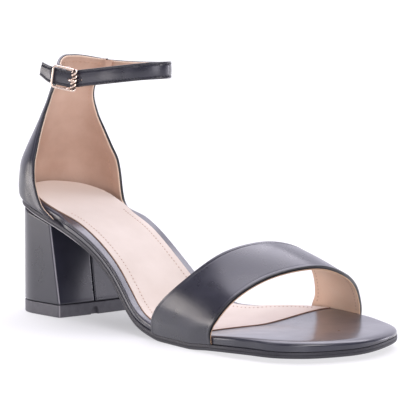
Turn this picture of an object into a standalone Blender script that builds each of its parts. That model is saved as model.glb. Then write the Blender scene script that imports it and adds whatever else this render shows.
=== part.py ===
"""Right-foot heeled sandal: block heel, closed counter, toe strap, buckled ankle strap."""

import math

import bmesh
import bpy
import numpy as np
from mathutils import Matrix

# Sizes in millimetres. +X runs to the toe, +Y to the inner (medial) side, +Z up.
CENTRE_X = 119.383
CENTRE_Y = 2.8
GAP = 0.3
OUTSOLE_THICK = 2.6
SOCK_THICK = 0.6
WALL = 1.6
COUNTER_WALL = 1.8
HEEL_LIFT = 6.0
SOCK_FRONT = (161.0, 171.0)
SIDE_STEPS = 36
RAIL_PARTS = (0.52, 0.68, 0.84)

# Sole line: height of the outsole's underside along its outer and inner edges.
SOLE_LINE = np.array([
    # x, outer, inner
    (0.0, 55.2, 55.2),
    (28.0, 50.0, 50.0),
    (55.0, 41.8, 41.8),
    (69.0, 36.4, 36.2),
    (80.0, 30.6, 30.0),
    (90.0, 23.6, 23.2),
    (99.0, 15.8, 16.0),
    (107.5, 8.8, 10.2),
    (116.0, 4.2, 6.4),
    (126.0, 1.5, 3.8),
    (138.0, 0.0, 2.8),
    (160.0, 0.0, 2.8),
    (174.0, 1.0, 2.9),
    (188.0, 1.8, 3.0),
    (200.0, 2.4, 3.1),
    (213.0, 2.9, 3.2),
    (234.0, 3.6, 3.6),
])

# Height of the wrapped board's top above the outsole's underside.
BOARD_TOP = np.array([
    # x, outer, inner
    (0.0, 6.6, 6.6),
    (50.0, 6.5, 6.5),
    (95.0, 6.0, 6.0),
    (124.0, 6.0, 7.6),
    (142.0, 6.2, 8.6),
    (168.0, 6.6, 8.8),
    (190.0, 7.0, 7.4),
    (205.0, 6.9, 6.4),
    (217.0, 6.4, 6.0),
    (234.0, 5.2, 5.2),
])

# Plan of the outsole: outer (lateral) and inner (medial) half widths.
HEEL_TIP = (7.4, 0.0)
TOE_TIP = (232.0, 1.6)
SOLE_PLAN = np.array([
    # x, lateral, medial
    (14.6, 17.0, 17.0),
    (31.0, 25.0, 24.6),
    (58.0, 25.3, 23.2),
    (92.0, 25.4, 20.6),
    (121.5, 31.2, 27.4),
    (146.0, 35.6, 36.0),
    (169.0, 38.5, 42.6),
    (194.0, 38.4, 44.2),
    (213.0, 33.2, 38.4),
    (226.0, 19.8, 23.6),
])

# Heel block plan, at its foot and at its seat.
HEEL_PLAN = {
    # back x, front x, half width, roundness of the back
    "foot": (12.2, 51.6, 23.4, 2.5),
    "seat": (13.4, 46.4, 24.8, 2.05),
}
BREAST_CORNER = 2.0

# Counter: one row per level of the wall's outer face; the drops lower its two front ends.
COUNTER_LEVELS = np.array([
    # z at back, back x, back depth, half widths, front x, front drops; pairs are outer, inner
    (61.0, 6.9, 25.0, 25.9, 25.9, 40.4, 41.2, 8.0, 8.0),
    (66.0, 6.8, 25.0, 26.1, 26.1, 35.8, 38.8, 3.0, 3.0),
    (72.0, 7.2, 25.0, 25.2, 25.0, 34.2, 38.0, 0.0, 0.0),
    (80.0, 10.2, 23.0, 22.7, 22.3, 33.2, 36.0, 0.0, 0.0),
    (88.0, 14.6, 20.5, 20.1, 19.4, 32.2, 34.2, 0.0, 0.0),
    (96.0, 19.2, 17.0, 17.6, 16.6, 31.8, 32.8, 0.0, 0.0),
    (104.0, 22.8, 14.8, 15.2, 14.4, 32.4, 33.0, 0.0, 0.0),
    (110.0, 25.2, 13.6, 13.8, 13.6, 34.8, 35.0, 0.0, 0.0),
    (115.0, 27.0, 13.2, 13.6, 13.6, 39.4, 40.2, 1.0, 0.4),
    (120.0, 28.8, 13.0, 13.8, 13.8, 41.0, 42.6, 2.6, 1.0),
    (125.0, 30.8, 12.4, 13.8, 13.8, 41.6, 43.6, 5.0, 2.2),
])
COUNTER_FOOT_FRONT = 48.0

# Toe strap: one row per station over the foot, outer to inner side.
STRAP_ARCH = np.array([
    # rear x, y, z, front x, y, z
    (140.0, -37.0, 17.0, 180.6, -39.6, 14.6),
    (153.6, -33.4, 29.3, 186.4, -33.0, 25.0),
    (164.6, -20.0, 41.6, 190.8, -16.5, 33.0),
    (170.0, 1.0, 45.2, 197.2, 6.0, 36.3),
    (171.0, 20.5, 40.6, 196.6, 22.5, 32.0),
    (164.4, 36.0, 29.0, 191.0, 36.6, 24.6),
    (160.6, 41.4, 17.0, 187.6, 43.0, 16.6),
])
STRAP_FOOT_OUTER = (129.8, 177.6)
STRAP_FOOT_INNER = (158.4, 186.0)
STRAP_OUTSET = 0.9
STRAP_CROWN = 0.5

# Ankle strap and buckle.
ANKLE_WIDTH = 8.0
ANKLE_THICK = 1.6
BUCKLE_AT = np.array((47.6, -15.7, 114.1))
BUCKLE_ALONG = np.array((0.949, 0.269, -0.165))
TAIL_REACH = 15.0
TAIL_TAPER = 1.2
ANKLE_PATH = np.array([
    # x, y, z of the strap's middle line in front of the buckle
    (58.6, -12.7, 114.5),
    (66.8, -10.6, 115.4),
    (79.5, -7.8, 116.8),
    (90.0, -4.0, 118.0),
    (97.2, 4.2, 118.7),
    (91.0, 12.2, 118.5),
    (79.0, 14.6, 118.0),
    (58.0, 15.9, 117.8),
    (43.0, 15.7, 118.2),
    (34.0, 15.2, 118.6),
])
FRAME_LENGTH = 14.0
FRAME_HEIGHT = 11.2
FRAME_WIRE = 0.7
BAR_WIRE = 0.5
FRAME_OUT = 1.75
BAR_OUT = -2.65
TAB_WIDTH = 6.4
TAB_THICK = 0.8
PRONG_WIRE = 0.5


def smooth(xs, ys, at):
    """Monotone cubic curve through the table columns xs, ys, read at the given places."""
    h = np.diff(xs)
    d = np.diff(ys) / h
    m = np.zeros(len(xs))
    m[0] = d[0]
    m[-1] = d[-1]
    for i in range(1, len(xs) - 1):
        if d[i - 1] * d[i] > 0:
            a = 2 * h[i] + h[i - 1]
            b = h[i] + 2 * h[i - 1]
            m[i] = (a + b) / (a / d[i - 1] + b / d[i])
    at = np.clip(np.asarray(at, float), xs[0], xs[-1])
    k = np.clip(np.searchsorted(xs, at, side="right") - 1, 0, len(h) - 1)
    t = (at - xs[k]) / h[k]
    near = (1 + 2 * t) * (1 - t) ** 2 * ys[k] + t * (1 - t) ** 2 * h[k] * m[k]
    far = t * t * (3 - 2 * t) * ys[k + 1] + t * t * (t - 1) * h[k] * m[k + 1]
    return near + far


def mixed(first, second, low, high, t):
    """Straight blend from first at low to second at high."""
    return (high - t) / (high - low) * first + (t - low) / (high - low) * second


def flowing(points, count, closed=False):
    """Even samples of a flowing curve through the points, spaced by length."""
    p = np.asarray(points, float)
    if closed:
        p = np.vstack([p[-2:], p, p[:3]])
    else:
        p = np.vstack([2 * p[0] - p[1], p, 2 * p[-1] - p[-2]])
    gap = np.sqrt(np.linalg.norm(np.diff(p, axis=0), axis=1))
    u = np.concatenate([[0], np.cumsum(gap)])
    out = []
    last = len(p) - 2 if not closed else len(p) - 3
    for i in range(1 if not closed else 2, last):
        t = np.linspace(u[i], u[i + 1], 40, endpoint=False)[:, None]
        a1 = mixed(p[i - 1], p[i], u[i - 1], u[i], t)
        a2 = mixed(p[i], p[i + 1], u[i], u[i + 1], t)
        a3 = mixed(p[i + 1], p[i + 2], u[i + 1], u[i + 2], t)
        b1 = mixed(a1, a2, u[i - 1], u[i + 1], t)
        b2 = mixed(a2, a3, u[i], u[i + 2], t)
        out.append(mixed(b1, b2, u[i], u[i + 1], t))
    out.append(p[last:last + 1])
    return resample(np.vstack(out), count)


def resample(line, count):
    """The polyline as count + 1 points an equal length apart."""
    s = np.concatenate([[0], np.cumsum(np.linalg.norm(np.diff(line, axis=0), axis=1))])
    at = np.linspace(0, s[-1], count + 1)
    return np.stack([np.interp(at, s, line[:, k]) for k in range(line.shape[1])], axis=1)


def step(low, high, x):
    """Soft step from 0 at low to 1 at high."""
    t = np.clip((x - low) / (high - low), 0, 1)
    return t * t * (3 - 2 * t)


def across(table, x, y):
    """Reads a table with outer and inner columns at x, blended over the inner half of the sole."""
    inner = step(2.0, 40.0, y)
    outer_value = smooth(table[:, 0], table[:, 1], x)
    return outer_value + (smooth(table[:, 0], table[:, 2], x) - outer_value) * inner


def sole_height(x, y):
    return across(SOLE_LINE, x, y)


def board_top(plan):
    return across(BOARD_TOP, plan[:, 0], plan[:, 1])


def on_sole(plan, height):
    """Plan points carried onto the sole line, then raised square to it by height."""
    x, y = plan[:, 0], plan[:, 1]
    slope = sole_height(x + 0.5, y) - sole_height(x - 0.5, y)
    size = np.sqrt(1 + slope * slope)
    return np.stack([x - height * slope / size, y, sole_height(x, y) + height / size], axis=1)


def sole_sides():
    """The outsole's plan as two lines from heel tip to toe tip, outer then inner."""
    outer = [(x, -a) for x, a, b in SOLE_PLAN]
    inner = [(x, b) for x, a, b in SOLE_PLAN]
    loop = [HEEL_TIP] + outer + [TOE_TIP] + inner[::-1]
    ring = flowing(loop, 1600, closed=True)
    toe = int(np.argmin(np.linalg.norm(ring - np.array(TOE_TIP), axis=1)))
    return ring[:toe + 1], ring[toe:][::-1]


OUTER_SIDE, INNER_SIDE = sole_sides()


def inset(side, sign, depth):
    """One side of the plan moved in by depth, square to its edge; the tips stay on the mid line."""
    t = np.gradient(side, axis=0)
    t[0] = (0, sign)
    t[-1] = (0, -sign)
    t /= np.linalg.norm(t, axis=1)[:, None]
    normal = np.stack([-t[:, 1], t[:, 0]], axis=1) * -sign
    return side + normal * np.reshape(depth, (-1, 1))


def plan_pair(depth, front=None):
    """Outer and inner lines of the sole plan, moved in by depth(x, side), cut at the front if given."""
    pair = []
    for side, sign, cut in ((OUTER_SIDE, -1, 0), (INNER_SIDE, 1, 1)):
        line = inset(side, sign, depth(side[:, 0], cut))
        if front is not None:
            line = line[line[:, 0] <= front[cut]]
        pair.append(resample(line, SIDE_STEPS))
    tip = (pair[0][0] + pair[1][0]) / 2
    pair[0][0] = tip
    pair[1][0] = tip
    if front is None:
        tip = (pair[0][-1] + pair[1][-1]) / 2
        pair[0][-1] = tip
        pair[1][-1] = tip
    return pair


def new_object(name, verts, faces, material, group):
    """A mesh object from millimetre points, set on the shoe's own centre."""
    mesh = bpy.data.meshes.new(name)
    moved = (np.asarray(verts, float) - np.array((CENTRE_X, CENTRE_Y, 0.0))) * 0.001
    mesh.from_pydata([tuple(v) for v in moved], [], faces)
    mesh.update()
    obj = bpy.data.objects.new(name, mesh)
    group.objects.link(obj)
    if material is not None:
        mesh.materials.append(material)
    return obj


def face_out(obj):
    """Turns the faces of a closed body outward."""
    bm = bmesh.new()
    bm.from_mesh(obj.data)
    bmesh.ops.recalc_face_normals(bm, faces=bm.faces)
    bm.to_mesh(obj.data)
    bm.free()


def layered(name, rings, closed_toe, material, rails=(None, None)):
    """Closed body from stacked rings of outer and inner lines, with rungs across bottom and top."""
    n = SIDE_STEPS
    verts = []
    index = []
    for outer, inner in rings:
        base = len(verts)
        verts.extend(outer)
        last = n if closed_toe else n + 1
        verts.extend(inner[1:last])
        ids_outer = [base + i for i in range(n + 1)]
        ids_inner = [base] + [base + n + i for i in range(1, last)]
        if closed_toe:
            ids_inner.append(base + n)
        index.append((ids_outer, ids_inner))
    faces = []
    for (o0, i0), (o1, i1) in zip(index[:-1], index[1:]):
        for k in range(n):
            faces.append((o0[k], o0[k + 1], o1[k + 1], o1[k]))
            faces.append((i0[k + 1], i0[k], i1[k], i1[k + 1]))
        if not closed_toe and rails[0] is None:
            faces.append((o0[n], i0[n], i1[n], o1[n]))
    ends = []
    for (o, i), inner_rails in zip((index[0], index[-1]), rails):
        between = [0] * len(inner_rails or [])
        rungs = [[o[k]] + between + [i[k]] for k in range(n + 1)]
        for r, rail in enumerate(inner_rails or []):
            for k in range(1, n if closed_toe else n + 1):
                rungs[k][r + 1] = len(verts)
                verts.append(rail[k])
        rungs[0] = [o[0]] * len(rungs[1])
        if closed_toe:
            rungs[n] = [o[n]] * len(rungs[1])
        ends.append(rungs)
        for k in range(n):
            for c in range(len(rungs[1]) - 1):
                rung = dict.fromkeys((rungs[k][c], rungs[k + 1][c], rungs[k + 1][c + 1], rungs[k][c + 1]))
                faces.append(tuple(rung))
    if not closed_toe and rails[0] is not None:
        up_inner = [i[n] for o, i in index[1:-1]]
        down_outer = [o[n] for o, i in index[-2:0:-1]]
        faces.append(tuple(ends[0][n] + up_inner + ends[1][n][::-1] + down_outer))
    obj = new_object(name, verts, faces, material, PARTS)
    face_out(obj)
    return obj


def sole_rails(pair, height):
    """Lines along the sole between its outer and inner lines, at the given height over the underside."""
    lines = []
    for part in RAIL_PARTS:
        plan = pair[0] + (pair[1] - pair[0]) * part
        lines.append(on_sole(plan, height(plan)))
    return lines


def sheet(name, rows, thickness, material):
    """Wall of even thickness: the grid is its outer face and it grows inward."""
    rows = np.asarray(rows)
    m, n = rows.shape[:2]
    faces = []
    for i in range(m - 1):
        for j in range(n - 1):
            a = i * n + j
            faces.append((a, a + 1, a + n + 1, a + n))
    obj = new_object(name, rows.reshape(-1, 3), faces, material, PARTS)
    wall = obj.modifiers.new("wall", "SOLIDIFY")
    wall.thickness = thickness * 0.001
    wall.offset = -1.0
    wall.use_even_offset = True
    wall.use_quality_normals = True
    return obj


def swept(name, path, ring, material, group, loop=False):
    """Body swept along a path; ring(i) gives the section's points about path point i."""
    sections = [ring(i) for i in range(len(path))]
    n = len(sections[0])
    verts = [p for s in sections for p in s]
    count = len(sections)
    faces = []
    for i in range(count if loop else count - 1):
        a = i * n
        b = ((i + 1) % count) * n
        for k in range(n):
            l = (k + 1) % n
            faces.append((a + k, a + l, b + l, b + k))
    if not loop:
        faces.append(tuple(range(n))[::-1])
        faces.append(tuple(range((count - 1) * n, count * n)))
    obj = new_object(name, verts, faces, material, group)
    face_out(obj)
    return obj


def wire(name, path, radius, sides, material, group, loop=False):
    """Round wire along a path."""
    path = np.asarray(path, float)
    if loop:
        tangent = np.roll(path, -1, axis=0) - np.roll(path, 1, axis=0)
    else:
        tangent = np.gradient(path, axis=0)
    tangent /= np.linalg.norm(tangent, axis=1)[:, None]
    up = np.cross(path[1] - path[0], path[2] - path[1])
    if np.linalg.norm(up) < 1e-6:
        up = np.array((0.3, 0.2, 0.9))
    frames = []
    for t in tangent:
        side = np.cross(up, t)
        side /= np.linalg.norm(side)
        up = np.cross(t, side)
        frames.append((side, up.copy()))
    turn = np.arange(sides) * 2 * math.pi / sides

    def ring(i):
        a, b = frames[i]
        return [path[i] + radius * (math.cos(w) * a + math.sin(w) * b) for w in turn]

    return swept(name, path, ring, material, group, loop)


def join_or_cut(obj, other, operation):
    """Boolean of one body with a helper body."""
    tool = obj.modifiers.new(other.name, "BOOLEAN")
    tool.operation = operation
    tool.solver = "EXACT"
    tool.object = other
    other.hide_render = True
    other.display_type = "WIRE"


def surface(name, colour, roughness, metallic=0.0):
    """Principled material of one plain colour."""
    mat = bpy.data.materials.new(name)
    mat.use_nodes = True
    shader = mat.node_tree.nodes["Principled BSDF"]
    shader.inputs["Base Color"].default_value = (*colour, 1.0)
    shader.inputs["Roughness"].default_value = roughness
    shader.inputs["Metallic"].default_value = metallic
    mat.diffuse_color = (*colour, 1.0)
    return mat


for old in list(bpy.data.objects):
    bpy.data.objects.remove(old, do_unlink=True)
PARTS = bpy.data.collections.new("heeled_sandal")
HELPERS = bpy.data.collections.new("cutters")
bpy.context.scene.collection.children.link(PARTS)
bpy.context.scene.collection.children.link(HELPERS)
HELPERS.hide_render = True

BLACK_LEATHER = surface("black_leather", (0.030, 0.031, 0.040), 0.45)
BOARD_WRAP = surface("board_wrap", (0.034, 0.034, 0.044), 0.45)
SOLE_RUBBER = surface("sole_rubber", (0.022, 0.022, 0.026), 0.6)
LIFT_RUBBER = surface("lift_rubber", (0.016, 0.016, 0.019), 0.65)
HEEL_WRAP = surface("heel_wrap", (0.026, 0.027, 0.034), 0.3)
SOCK_LEATHER = surface("sock_leather", (0.82, 0.69, 0.62), 0.6)
COUNTER_LEATHER = surface("counter_leather", (0.028, 0.029, 0.038), 0.45)
ANKLE_LEATHER = surface("ankle_leather", (0.026, 0.027, 0.035), 0.45)
TAB_LEATHER = surface("tab_leather", (0.024, 0.025, 0.033), 0.45)
BUCKLE_METAL = surface("buckle_metal", (0.86, 0.72, 0.60), 0.18, 1.0)
PRONG_METAL = surface("prong_metal", (0.86, 0.73, 0.62), 0.18, 1.0)


def outsole():
    """Thin sheet under the whole foot, edge slightly eased."""
    rows = [
        # in from the edge, height over the underside
        (1.2, 0.0),
        (0.35, 0.35),
        (0.0, 1.1),
        (0.0, OUTSOLE_THICK - 0.4),
        (0.4, OUTSOLE_THICK),
    ]
    rings = []
    rails = []
    for depth, height in rows:
        pair = plan_pair(lambda x, side, d=depth: d + 0 * x)
        rings.append(tuple(on_sole(line, height) for line in pair))
        rails.append(sole_rails(pair, lambda plan, h=height: h))
    return layered("outsole", rings, True, SOLE_RUBBER, (rails[0], rails[-1]))


def board_depth(x):
    """How far the board's side stands in from the outsole's edge."""
    waist = step(50.0, 60.0, x) * (1 - step(108.0, 126.0, x))
    return 2.35 - 1.35 * step(48.0, 58.0, x) - 0.7 * waist


def insole_board():
    """Wrapped board: upright side with a groove at the waist and a rounded top edge."""
    low = OUTSOLE_THICK + GAP
    rows = [
        # in from the side, below the top, groove depth
        (0.5, None, 0.0),
        (0.0, 3.0, 0.0),
        (0.0, 1.9, 0.0),
        (0.0, 1.5, 0.45),
        (0.0, 1.1, 0.0),
        (0.15, 0.5, 0.0),
        (0.5, 0.15, 0.0),
        (1.2, 0.0, 0.0),
    ]
    rings = []
    rails = []
    for depth, drop, groove in rows:
        def far(x, side, d=depth, g=groove):
            return board_depth(x) + d + g * step(50, 60, x) * (1 - step(118, 130, x))

        def height(plan, d=drop):
            if d is None:
                return np.full(len(plan), low)
            return np.maximum(board_top(plan) - d, low + 0.35)

        pair = plan_pair(far)
        rings.append(tuple(on_sole(line, height(line)) for line in pair))
        rails.append(sole_rails(pair, height))
    return layered("insole_board", rings, True, BOARD_WRAP, (rails[0], rails[-1]))


def sock_lining():
    """Sock on the board, from the heel to a cut line under the toe strap."""
    rings = []
    rails = []
    for depth, lift in ((0.0, 0.0), (0.0, SOCK_THICK - 0.3), (0.3, SOCK_THICK)):
        def far(x, side, d=depth):
            inner = 1.2 * step(26.0, 44.0, x) * (1 - step(52.0, 72.0, x)) - 1.6 * step(132.0, 152.0, x)
            outer = -0.6 * step(75.0, 100.0, x) * (1 - step(125.0, 145.0, x))
            return 2.75 + d + 1.6 * step(44.0, 62.0, x) + (inner if side else outer)

        pair = plan_pair(far, front=SOCK_FRONT)

        def height(plan, h=lift):
            return board_top(plan) + GAP + h

        rings.append(tuple(on_sole(line, height(line)) for line in pair))
        rails.append(sole_rails(pair, height))
    return layered("sock_lining", rings, False, SOCK_LEATHER, (rails[0], rails[-1]))


def heel_plan(back, front, half, roundness):
    """Outer and inner lines of a D-shaped plan, from the back's middle to the breast's corner."""
    mid = back + 0.55 * (front - back)
    turn = np.linspace(0, math.pi / 2, 60)
    rear_x = mid - (mid - back) * np.cos(turn) ** (2 / roundness)
    rear_y = half * np.sin(turn) ** (2 / roundness)
    corner = np.linspace(0, math.pi / 2, 6)
    r = BREAST_CORNER
    nose_x = front - r + r * np.sin(corner)
    nose_y = half - r + r * np.cos(corner)
    line = np.stack([np.concatenate([rear_x, nose_x]), np.concatenate([rear_y, nose_y])], axis=1)
    split = resample(line[:60 + 1], SIDE_STEPS - 5)
    line = np.vstack([split, line[61:]])
    return line * (1, -1), line


def heel_block():
    """Block heel: D plan blended from foot to seat, top following the outsole."""
    foot = heel_plan(*HEEL_PLAN["foot"])
    seat = heel_plan(*HEEL_PLAN["seat"])
    low = HEEL_LIFT + GAP
    rings = []
    for part in (0.0, 0.33, 0.66, 1.0):
        lines = []
        for f, s in zip(foot, seat):
            plan = f + (s - f) * part
            top = sole_height(s[:, 0], s[:, 1]) - GAP * 1.1
            lines.append(np.column_stack([plan, low + (top - low) * part]))
        rings.append(tuple(lines))
    return layered("heel_block", rings, False, HEEL_WRAP)


def heel_top_piece():
    """Rubber lift under the heel with a small notch at the breast."""
    back, front, half, roundness = HEEL_PLAN["foot"]
    rings = []
    for depth, z in ((0.5, 0.0), (0.0, 0.5), (0.0, HEEL_LIFT)):
        pair = heel_plan(back + depth, front - depth, half - depth, roundness)
        rings.append(tuple(np.column_stack([line, np.full(len(line), z)]) for line in pair))
    lift = layered("heel_top_piece", rings, False, LIFT_RUBBER)
    bpy.ops.mesh.primitive_cube_add(size=1.0)
    notch = bpy.context.active_object
    notch.name = "lift_notch"
    notch.data.transform(Matrix.Diagonal((0.005, 0.0032, 0.0026, 1.0)))
    notch.data.transform(Matrix.Translation(((front - CENTRE_X) * 0.001, -CENTRE_Y * 0.001, 0.0013)))
    for owner in list(notch.users_collection):
        owner.objects.unlink(notch)
    HELPERS.objects.link(notch)
    join_or_cut(lift, notch, "DIFFERENCE")
    return lift


def counter():
    """Hollow heel wall round the back of the foot, rising to two ears at the ankle."""
    half_cols = 15
    foot = []
    for side, sign in ((OUTER_SIDE, -1), (INNER_SIDE, 1)):
        line = inset(side, sign, 0.2 + 0 * side[:, 0])
        line[0, 1] = 0.0
        foot.append(resample(line[line[:, 0] <= COUNTER_FOOT_FRONT], half_cols))
    levels = [on_sole(np.vstack([foot[0][::-1], foot[1][1:]]), OUTSOLE_THICK + GAP)]
    part = np.linspace(-1, 1, 2 * half_cols + 1)
    for z, back, depth, *ends, drop_outer, drop_inner in COUNTER_LEVELS:
        arms = []
        for half, front in (ends[::2], ends[1::2]):
            turn = np.linspace(0, math.pi / 2, 80)
            arm = np.stack([back + depth - depth * np.cos(turn), half * np.sin(turn)], axis=1)
            if front > back + depth:
                arm = np.vstack([arm, (front, half)])
            else:
                y = half * math.sqrt(1 - ((back + depth - front) / depth) ** 2)
                arm = np.vstack([arm[arm[:, 0] < front], (front, y)])
            arms.append(resample(arm, half_cols))
        row = np.vstack([arms[0][::-1] * (1, -1), arms[1][1:]])
        drop = np.where(part < 0, drop_outer, drop_inner) * step(0.1, 1.0, np.abs(part))
        levels.append(np.column_stack([row, z - drop]))
    levels = np.array(levels)
    where = np.arange(len(levels), dtype=float)
    rows = []
    for at in np.linspace(0, len(levels) - 1, 19):
        row = [[smooth(where, levels[:, j, k], at) for k in range(3)] for j in range(levels.shape[1])]
        rows.append(np.array(row, float))
    return sheet("counter", np.array(rows)[::-1], COUNTER_WALL, COUNTER_LEATHER)


def side_at(side, x, out):
    """Points of the sole's plan at the given x, moved outward."""
    sign = -1 if side is OUTER_SIDE else 1
    line = inset(side, sign, -out + 0 * side[:, 0])
    half = line[:len(line) * 9 // 10]
    return np.column_stack([x, np.interp(x, half[:, 0], half[:, 1])])


def toe_strap():
    """Arched band over the forefoot, its ends outside the board and down to the outsole."""
    cols = 7
    part = np.linspace(0, 1, cols)
    stations = []
    for height in (OUTSOLE_THICK + GAP, 7.0):
        x = STRAP_FOOT_OUTER[0] + (STRAP_FOOT_OUTER[1] - STRAP_FOOT_OUTER[0]) * part
        stations.append(on_sole(side_at(OUTER_SIDE, x, STRAP_OUTSET), height))
    for row in STRAP_ARCH:
        stations.append(row[None, :3] + (row[None, 3:] - row[None, :3]) * part[:, None])
    for height in (8.5, OUTSOLE_THICK + GAP):
        x = STRAP_FOOT_INNER[0] + (STRAP_FOOT_INNER[1] - STRAP_FOOT_INNER[0]) * part
        stations.append(on_sole(side_at(INNER_SIDE, x, STRAP_OUTSET), height))
    stations = np.array(stations)
    columns = [flowing(stations[:, j], 34) for j in range(cols)]
    rows = np.stack(columns, axis=1)
    middle = np.array((175.0, 2.0, 4.0))
    away = rows - middle
    away[:, :, 0] = 0
    away /= np.linalg.norm(away, axis=2)[:, :, None]
    lift = STRAP_CROWN * np.sin(np.pi * part)[None, :, None]
    lift = lift * np.sin(np.linspace(0, np.pi, len(rows)))[:, None, None]
    return sheet("toe_strap", rows + away * lift, WALL, BLACK_LEATHER)


def buckle_axes():
    """Unit directions at the buckle: along the strap, out from the ankle, up the strap."""
    along = BUCKLE_ALONG / np.linalg.norm(BUCKLE_ALONG)
    out = np.array((along[1], -along[0], 0.0))
    out /= np.linalg.norm(out)
    up = np.cross(out, along)
    return along, out, up * (1 if up[2] > 0 else -1)


def at_buckle(points):
    """Local buckle points (along, out, up) as shoe points."""
    along, out, up = buckle_axes()
    p = np.asarray(points, float)
    return BUCKLE_AT + p[:, :1] * along + p[:, 1:2] * out + p[:, 2:3] * up


def ankle_path():
    """Middle line of the ankle strap from its free tail to the inner ear."""
    tail = [(-TAIL_REACH, -0.8, 1.6), (-9, 0, 0.2)]
    straight = [(-6, 0, 0), (0, 0, 0), (3.5, 0, 0.1), (6.5, 0, 0.9)]
    return flowing(np.vstack([at_buckle(tail + straight), ANKLE_PATH]), 64)


def ribbon_ring(path, width, thick, ease):
    """Section function of a flat band that stands on edge along the path."""
    tangent = np.gradient(path, axis=0)
    tangent /= np.linalg.norm(tangent, axis=1)[:, None]

    def ring(i):
        t = tangent[i]
        side = np.cross((0.0, 0.0, 1.0), t)
        side /= np.linalg.norm(side)
        up = np.cross(t, side)
        w = width[i] / 2
        h = thick / 2
        upper = [(w - ease, h), (w, h - ease), (w, ease - h), (w - ease, -h)]
        lower = [(-a, -b) for a, b in upper]
        return [path[i] + a * up + b * side for a, b in upper + lower]

    return ring


def ankle_strap():
    """Band round the ankle: tail, buckle run, front bend and inner run in one piece."""
    path = ankle_path()
    from_tail = np.linalg.norm(path - path[0], axis=1)
    from_tail[len(path) // 2:] = 99.0
    width = ANKLE_WIDTH - TAIL_TAPER * (1 - step(0.0, 9.0, from_tail))
    strap = swept("ankle_strap", path, ribbon_ring(path, width, ANKLE_THICK, 0.35), ANKLE_LEATHER, PARTS)
    ends = at_buckle([(2.5, -2.2, 0), (2.5, -1.0, 0), (2.5, 1.0, 0), (2.5, 2.2, 0)])
    hole = wire("strap_hole", ends, 1.15, 12, None, HELPERS)
    join_or_cut(strap, hole, "DIFFERENCE")
    return strap


def buckle_frame():
    """Rounded rectangular wire frame over the strap with a set-back bar under it."""
    half_l = FRAME_LENGTH / 2 - FRAME_WIRE
    half_h = FRAME_HEIGHT / 2 - FRAME_WIRE
    r = 1.8
    path = []
    for cx, cy, start in ((1, 1, 0), (-1, 1, 90), (-1, -1, 180), (1, -1, 270)):
        for turn in range(0, 91, 18):
            w = math.radians(start + turn)
            along = cx * (half_l - r) + r * math.cos(w)
            up = cy * (half_h - r) + r * math.sin(w)
            path.append((along, FRAME_OUT, up))
    frame = wire("buckle_frame", at_buckle(path), FRAME_WIRE, 10, BUCKLE_METAL, PARTS, loop=True)
    bend = 0.9
    bar = [(0, FRAME_OUT, half_h), (0, FRAME_OUT - 1.0, half_h)]
    for angle in range(0, 91, 22):
        w = math.radians(angle)
        bar.append((0, BAR_OUT + bend - bend * math.sin(w), half_h - bend + bend * math.cos(w)))
    bar = bar + [(a, b, -c) for a, b, c in bar[::-1]]
    rod = wire("buckle_bar", at_buckle(bar), BAR_WIRE, 10, BUCKLE_METAL, HELPERS)
    join_or_cut(frame, rod, "UNION")
    return frame


def buckle_tab():
    """Folded leather loop from the outer ear round the buckle's bar, slotted for the prong."""
    reach = BAR_WIRE + 0.15 + TAB_THICK / 2
    plan = [(-10.4, -4.2), (-8.0, -3.25), (-5.4, -2.4), (-2.2, BAR_OUT + reach)]
    for angle in range(90, -91, -20):
        w = math.radians(angle)
        plan.append((reach * math.cos(w), BAR_OUT + reach * math.sin(w)))
    plan += [(-2.2, BAR_OUT - reach - 0.5), (-5.2, -6.25), (-8.2, -7.8)]
    path = np.array([(a, b, 0.0) for a, b in plan])
    path = at_buckle(resample(path, 40))
    along, out, up = buckle_axes()
    tangent = np.gradient(path, axis=0)
    tangent /= np.linalg.norm(tangent, axis=1)[:, None]

    def ring(i):
        side = np.cross(up, tangent[i])
        w = TAB_WIDTH / 2
        h = TAB_THICK / 2
        return [path[i] + a * up + b * side for a, b in ((w, h), (w, -h), (-w, -h), (-w, h))]

    tab = swept("buckle_tab", path, ring, TAB_LEATHER, PARTS)
    slot_points = []
    for a in (-2.3, 3.0):
        for b in (-5.2, 0.0):
            for c in (-0.9, 0.9):
                slot_points.append((a, b, c))
    slot_faces = [(0, 1, 3, 2), (4, 6, 7, 5), (0, 4, 5, 1), (2, 3, 7, 6), (0, 2, 6, 4), (1, 5, 7, 3)]
    slot = new_object("tab_slot", at_buckle(slot_points), slot_faces, None, HELPERS)
    face_out(slot)
    join_or_cut(tab, slot, "DIFFERENCE")
    return tab


def buckle_prong():
    """Wire prong hooked on the bar, up through the strap and over the front of the frame."""
    hook = BAR_WIRE + 0.15 + PRONG_WIRE
    path = []
    for angle in range(260, 89, -17):
        w = math.radians(angle)
        path.append((hook * math.cos(w), BAR_OUT + hook * math.sin(w), 0))
    path += [(1.3, -1.35, 0), (2.1, -0.75, 0), (2.6, 0.2, 0), (3.0, 1.2, 0), (3.7, 2.3, 0), (4.8, 2.95, 0)]
    path += [(5.9, 3.1, 0), (6.9, 2.85, 0), (7.5, 2.35, 0)]
    return wire("buckle_prong", at_buckle(flowing(path, 34)), PRONG_WIRE, 10, PRONG_METAL, PARTS)


outsole()
insole_board()
sock_lining()
heel_block()
heel_top_piece()
counter()
toe_strap()
ankle_strap()
buckle_tab()
buckle_frame()
buckle_prong()
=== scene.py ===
import math

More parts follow.
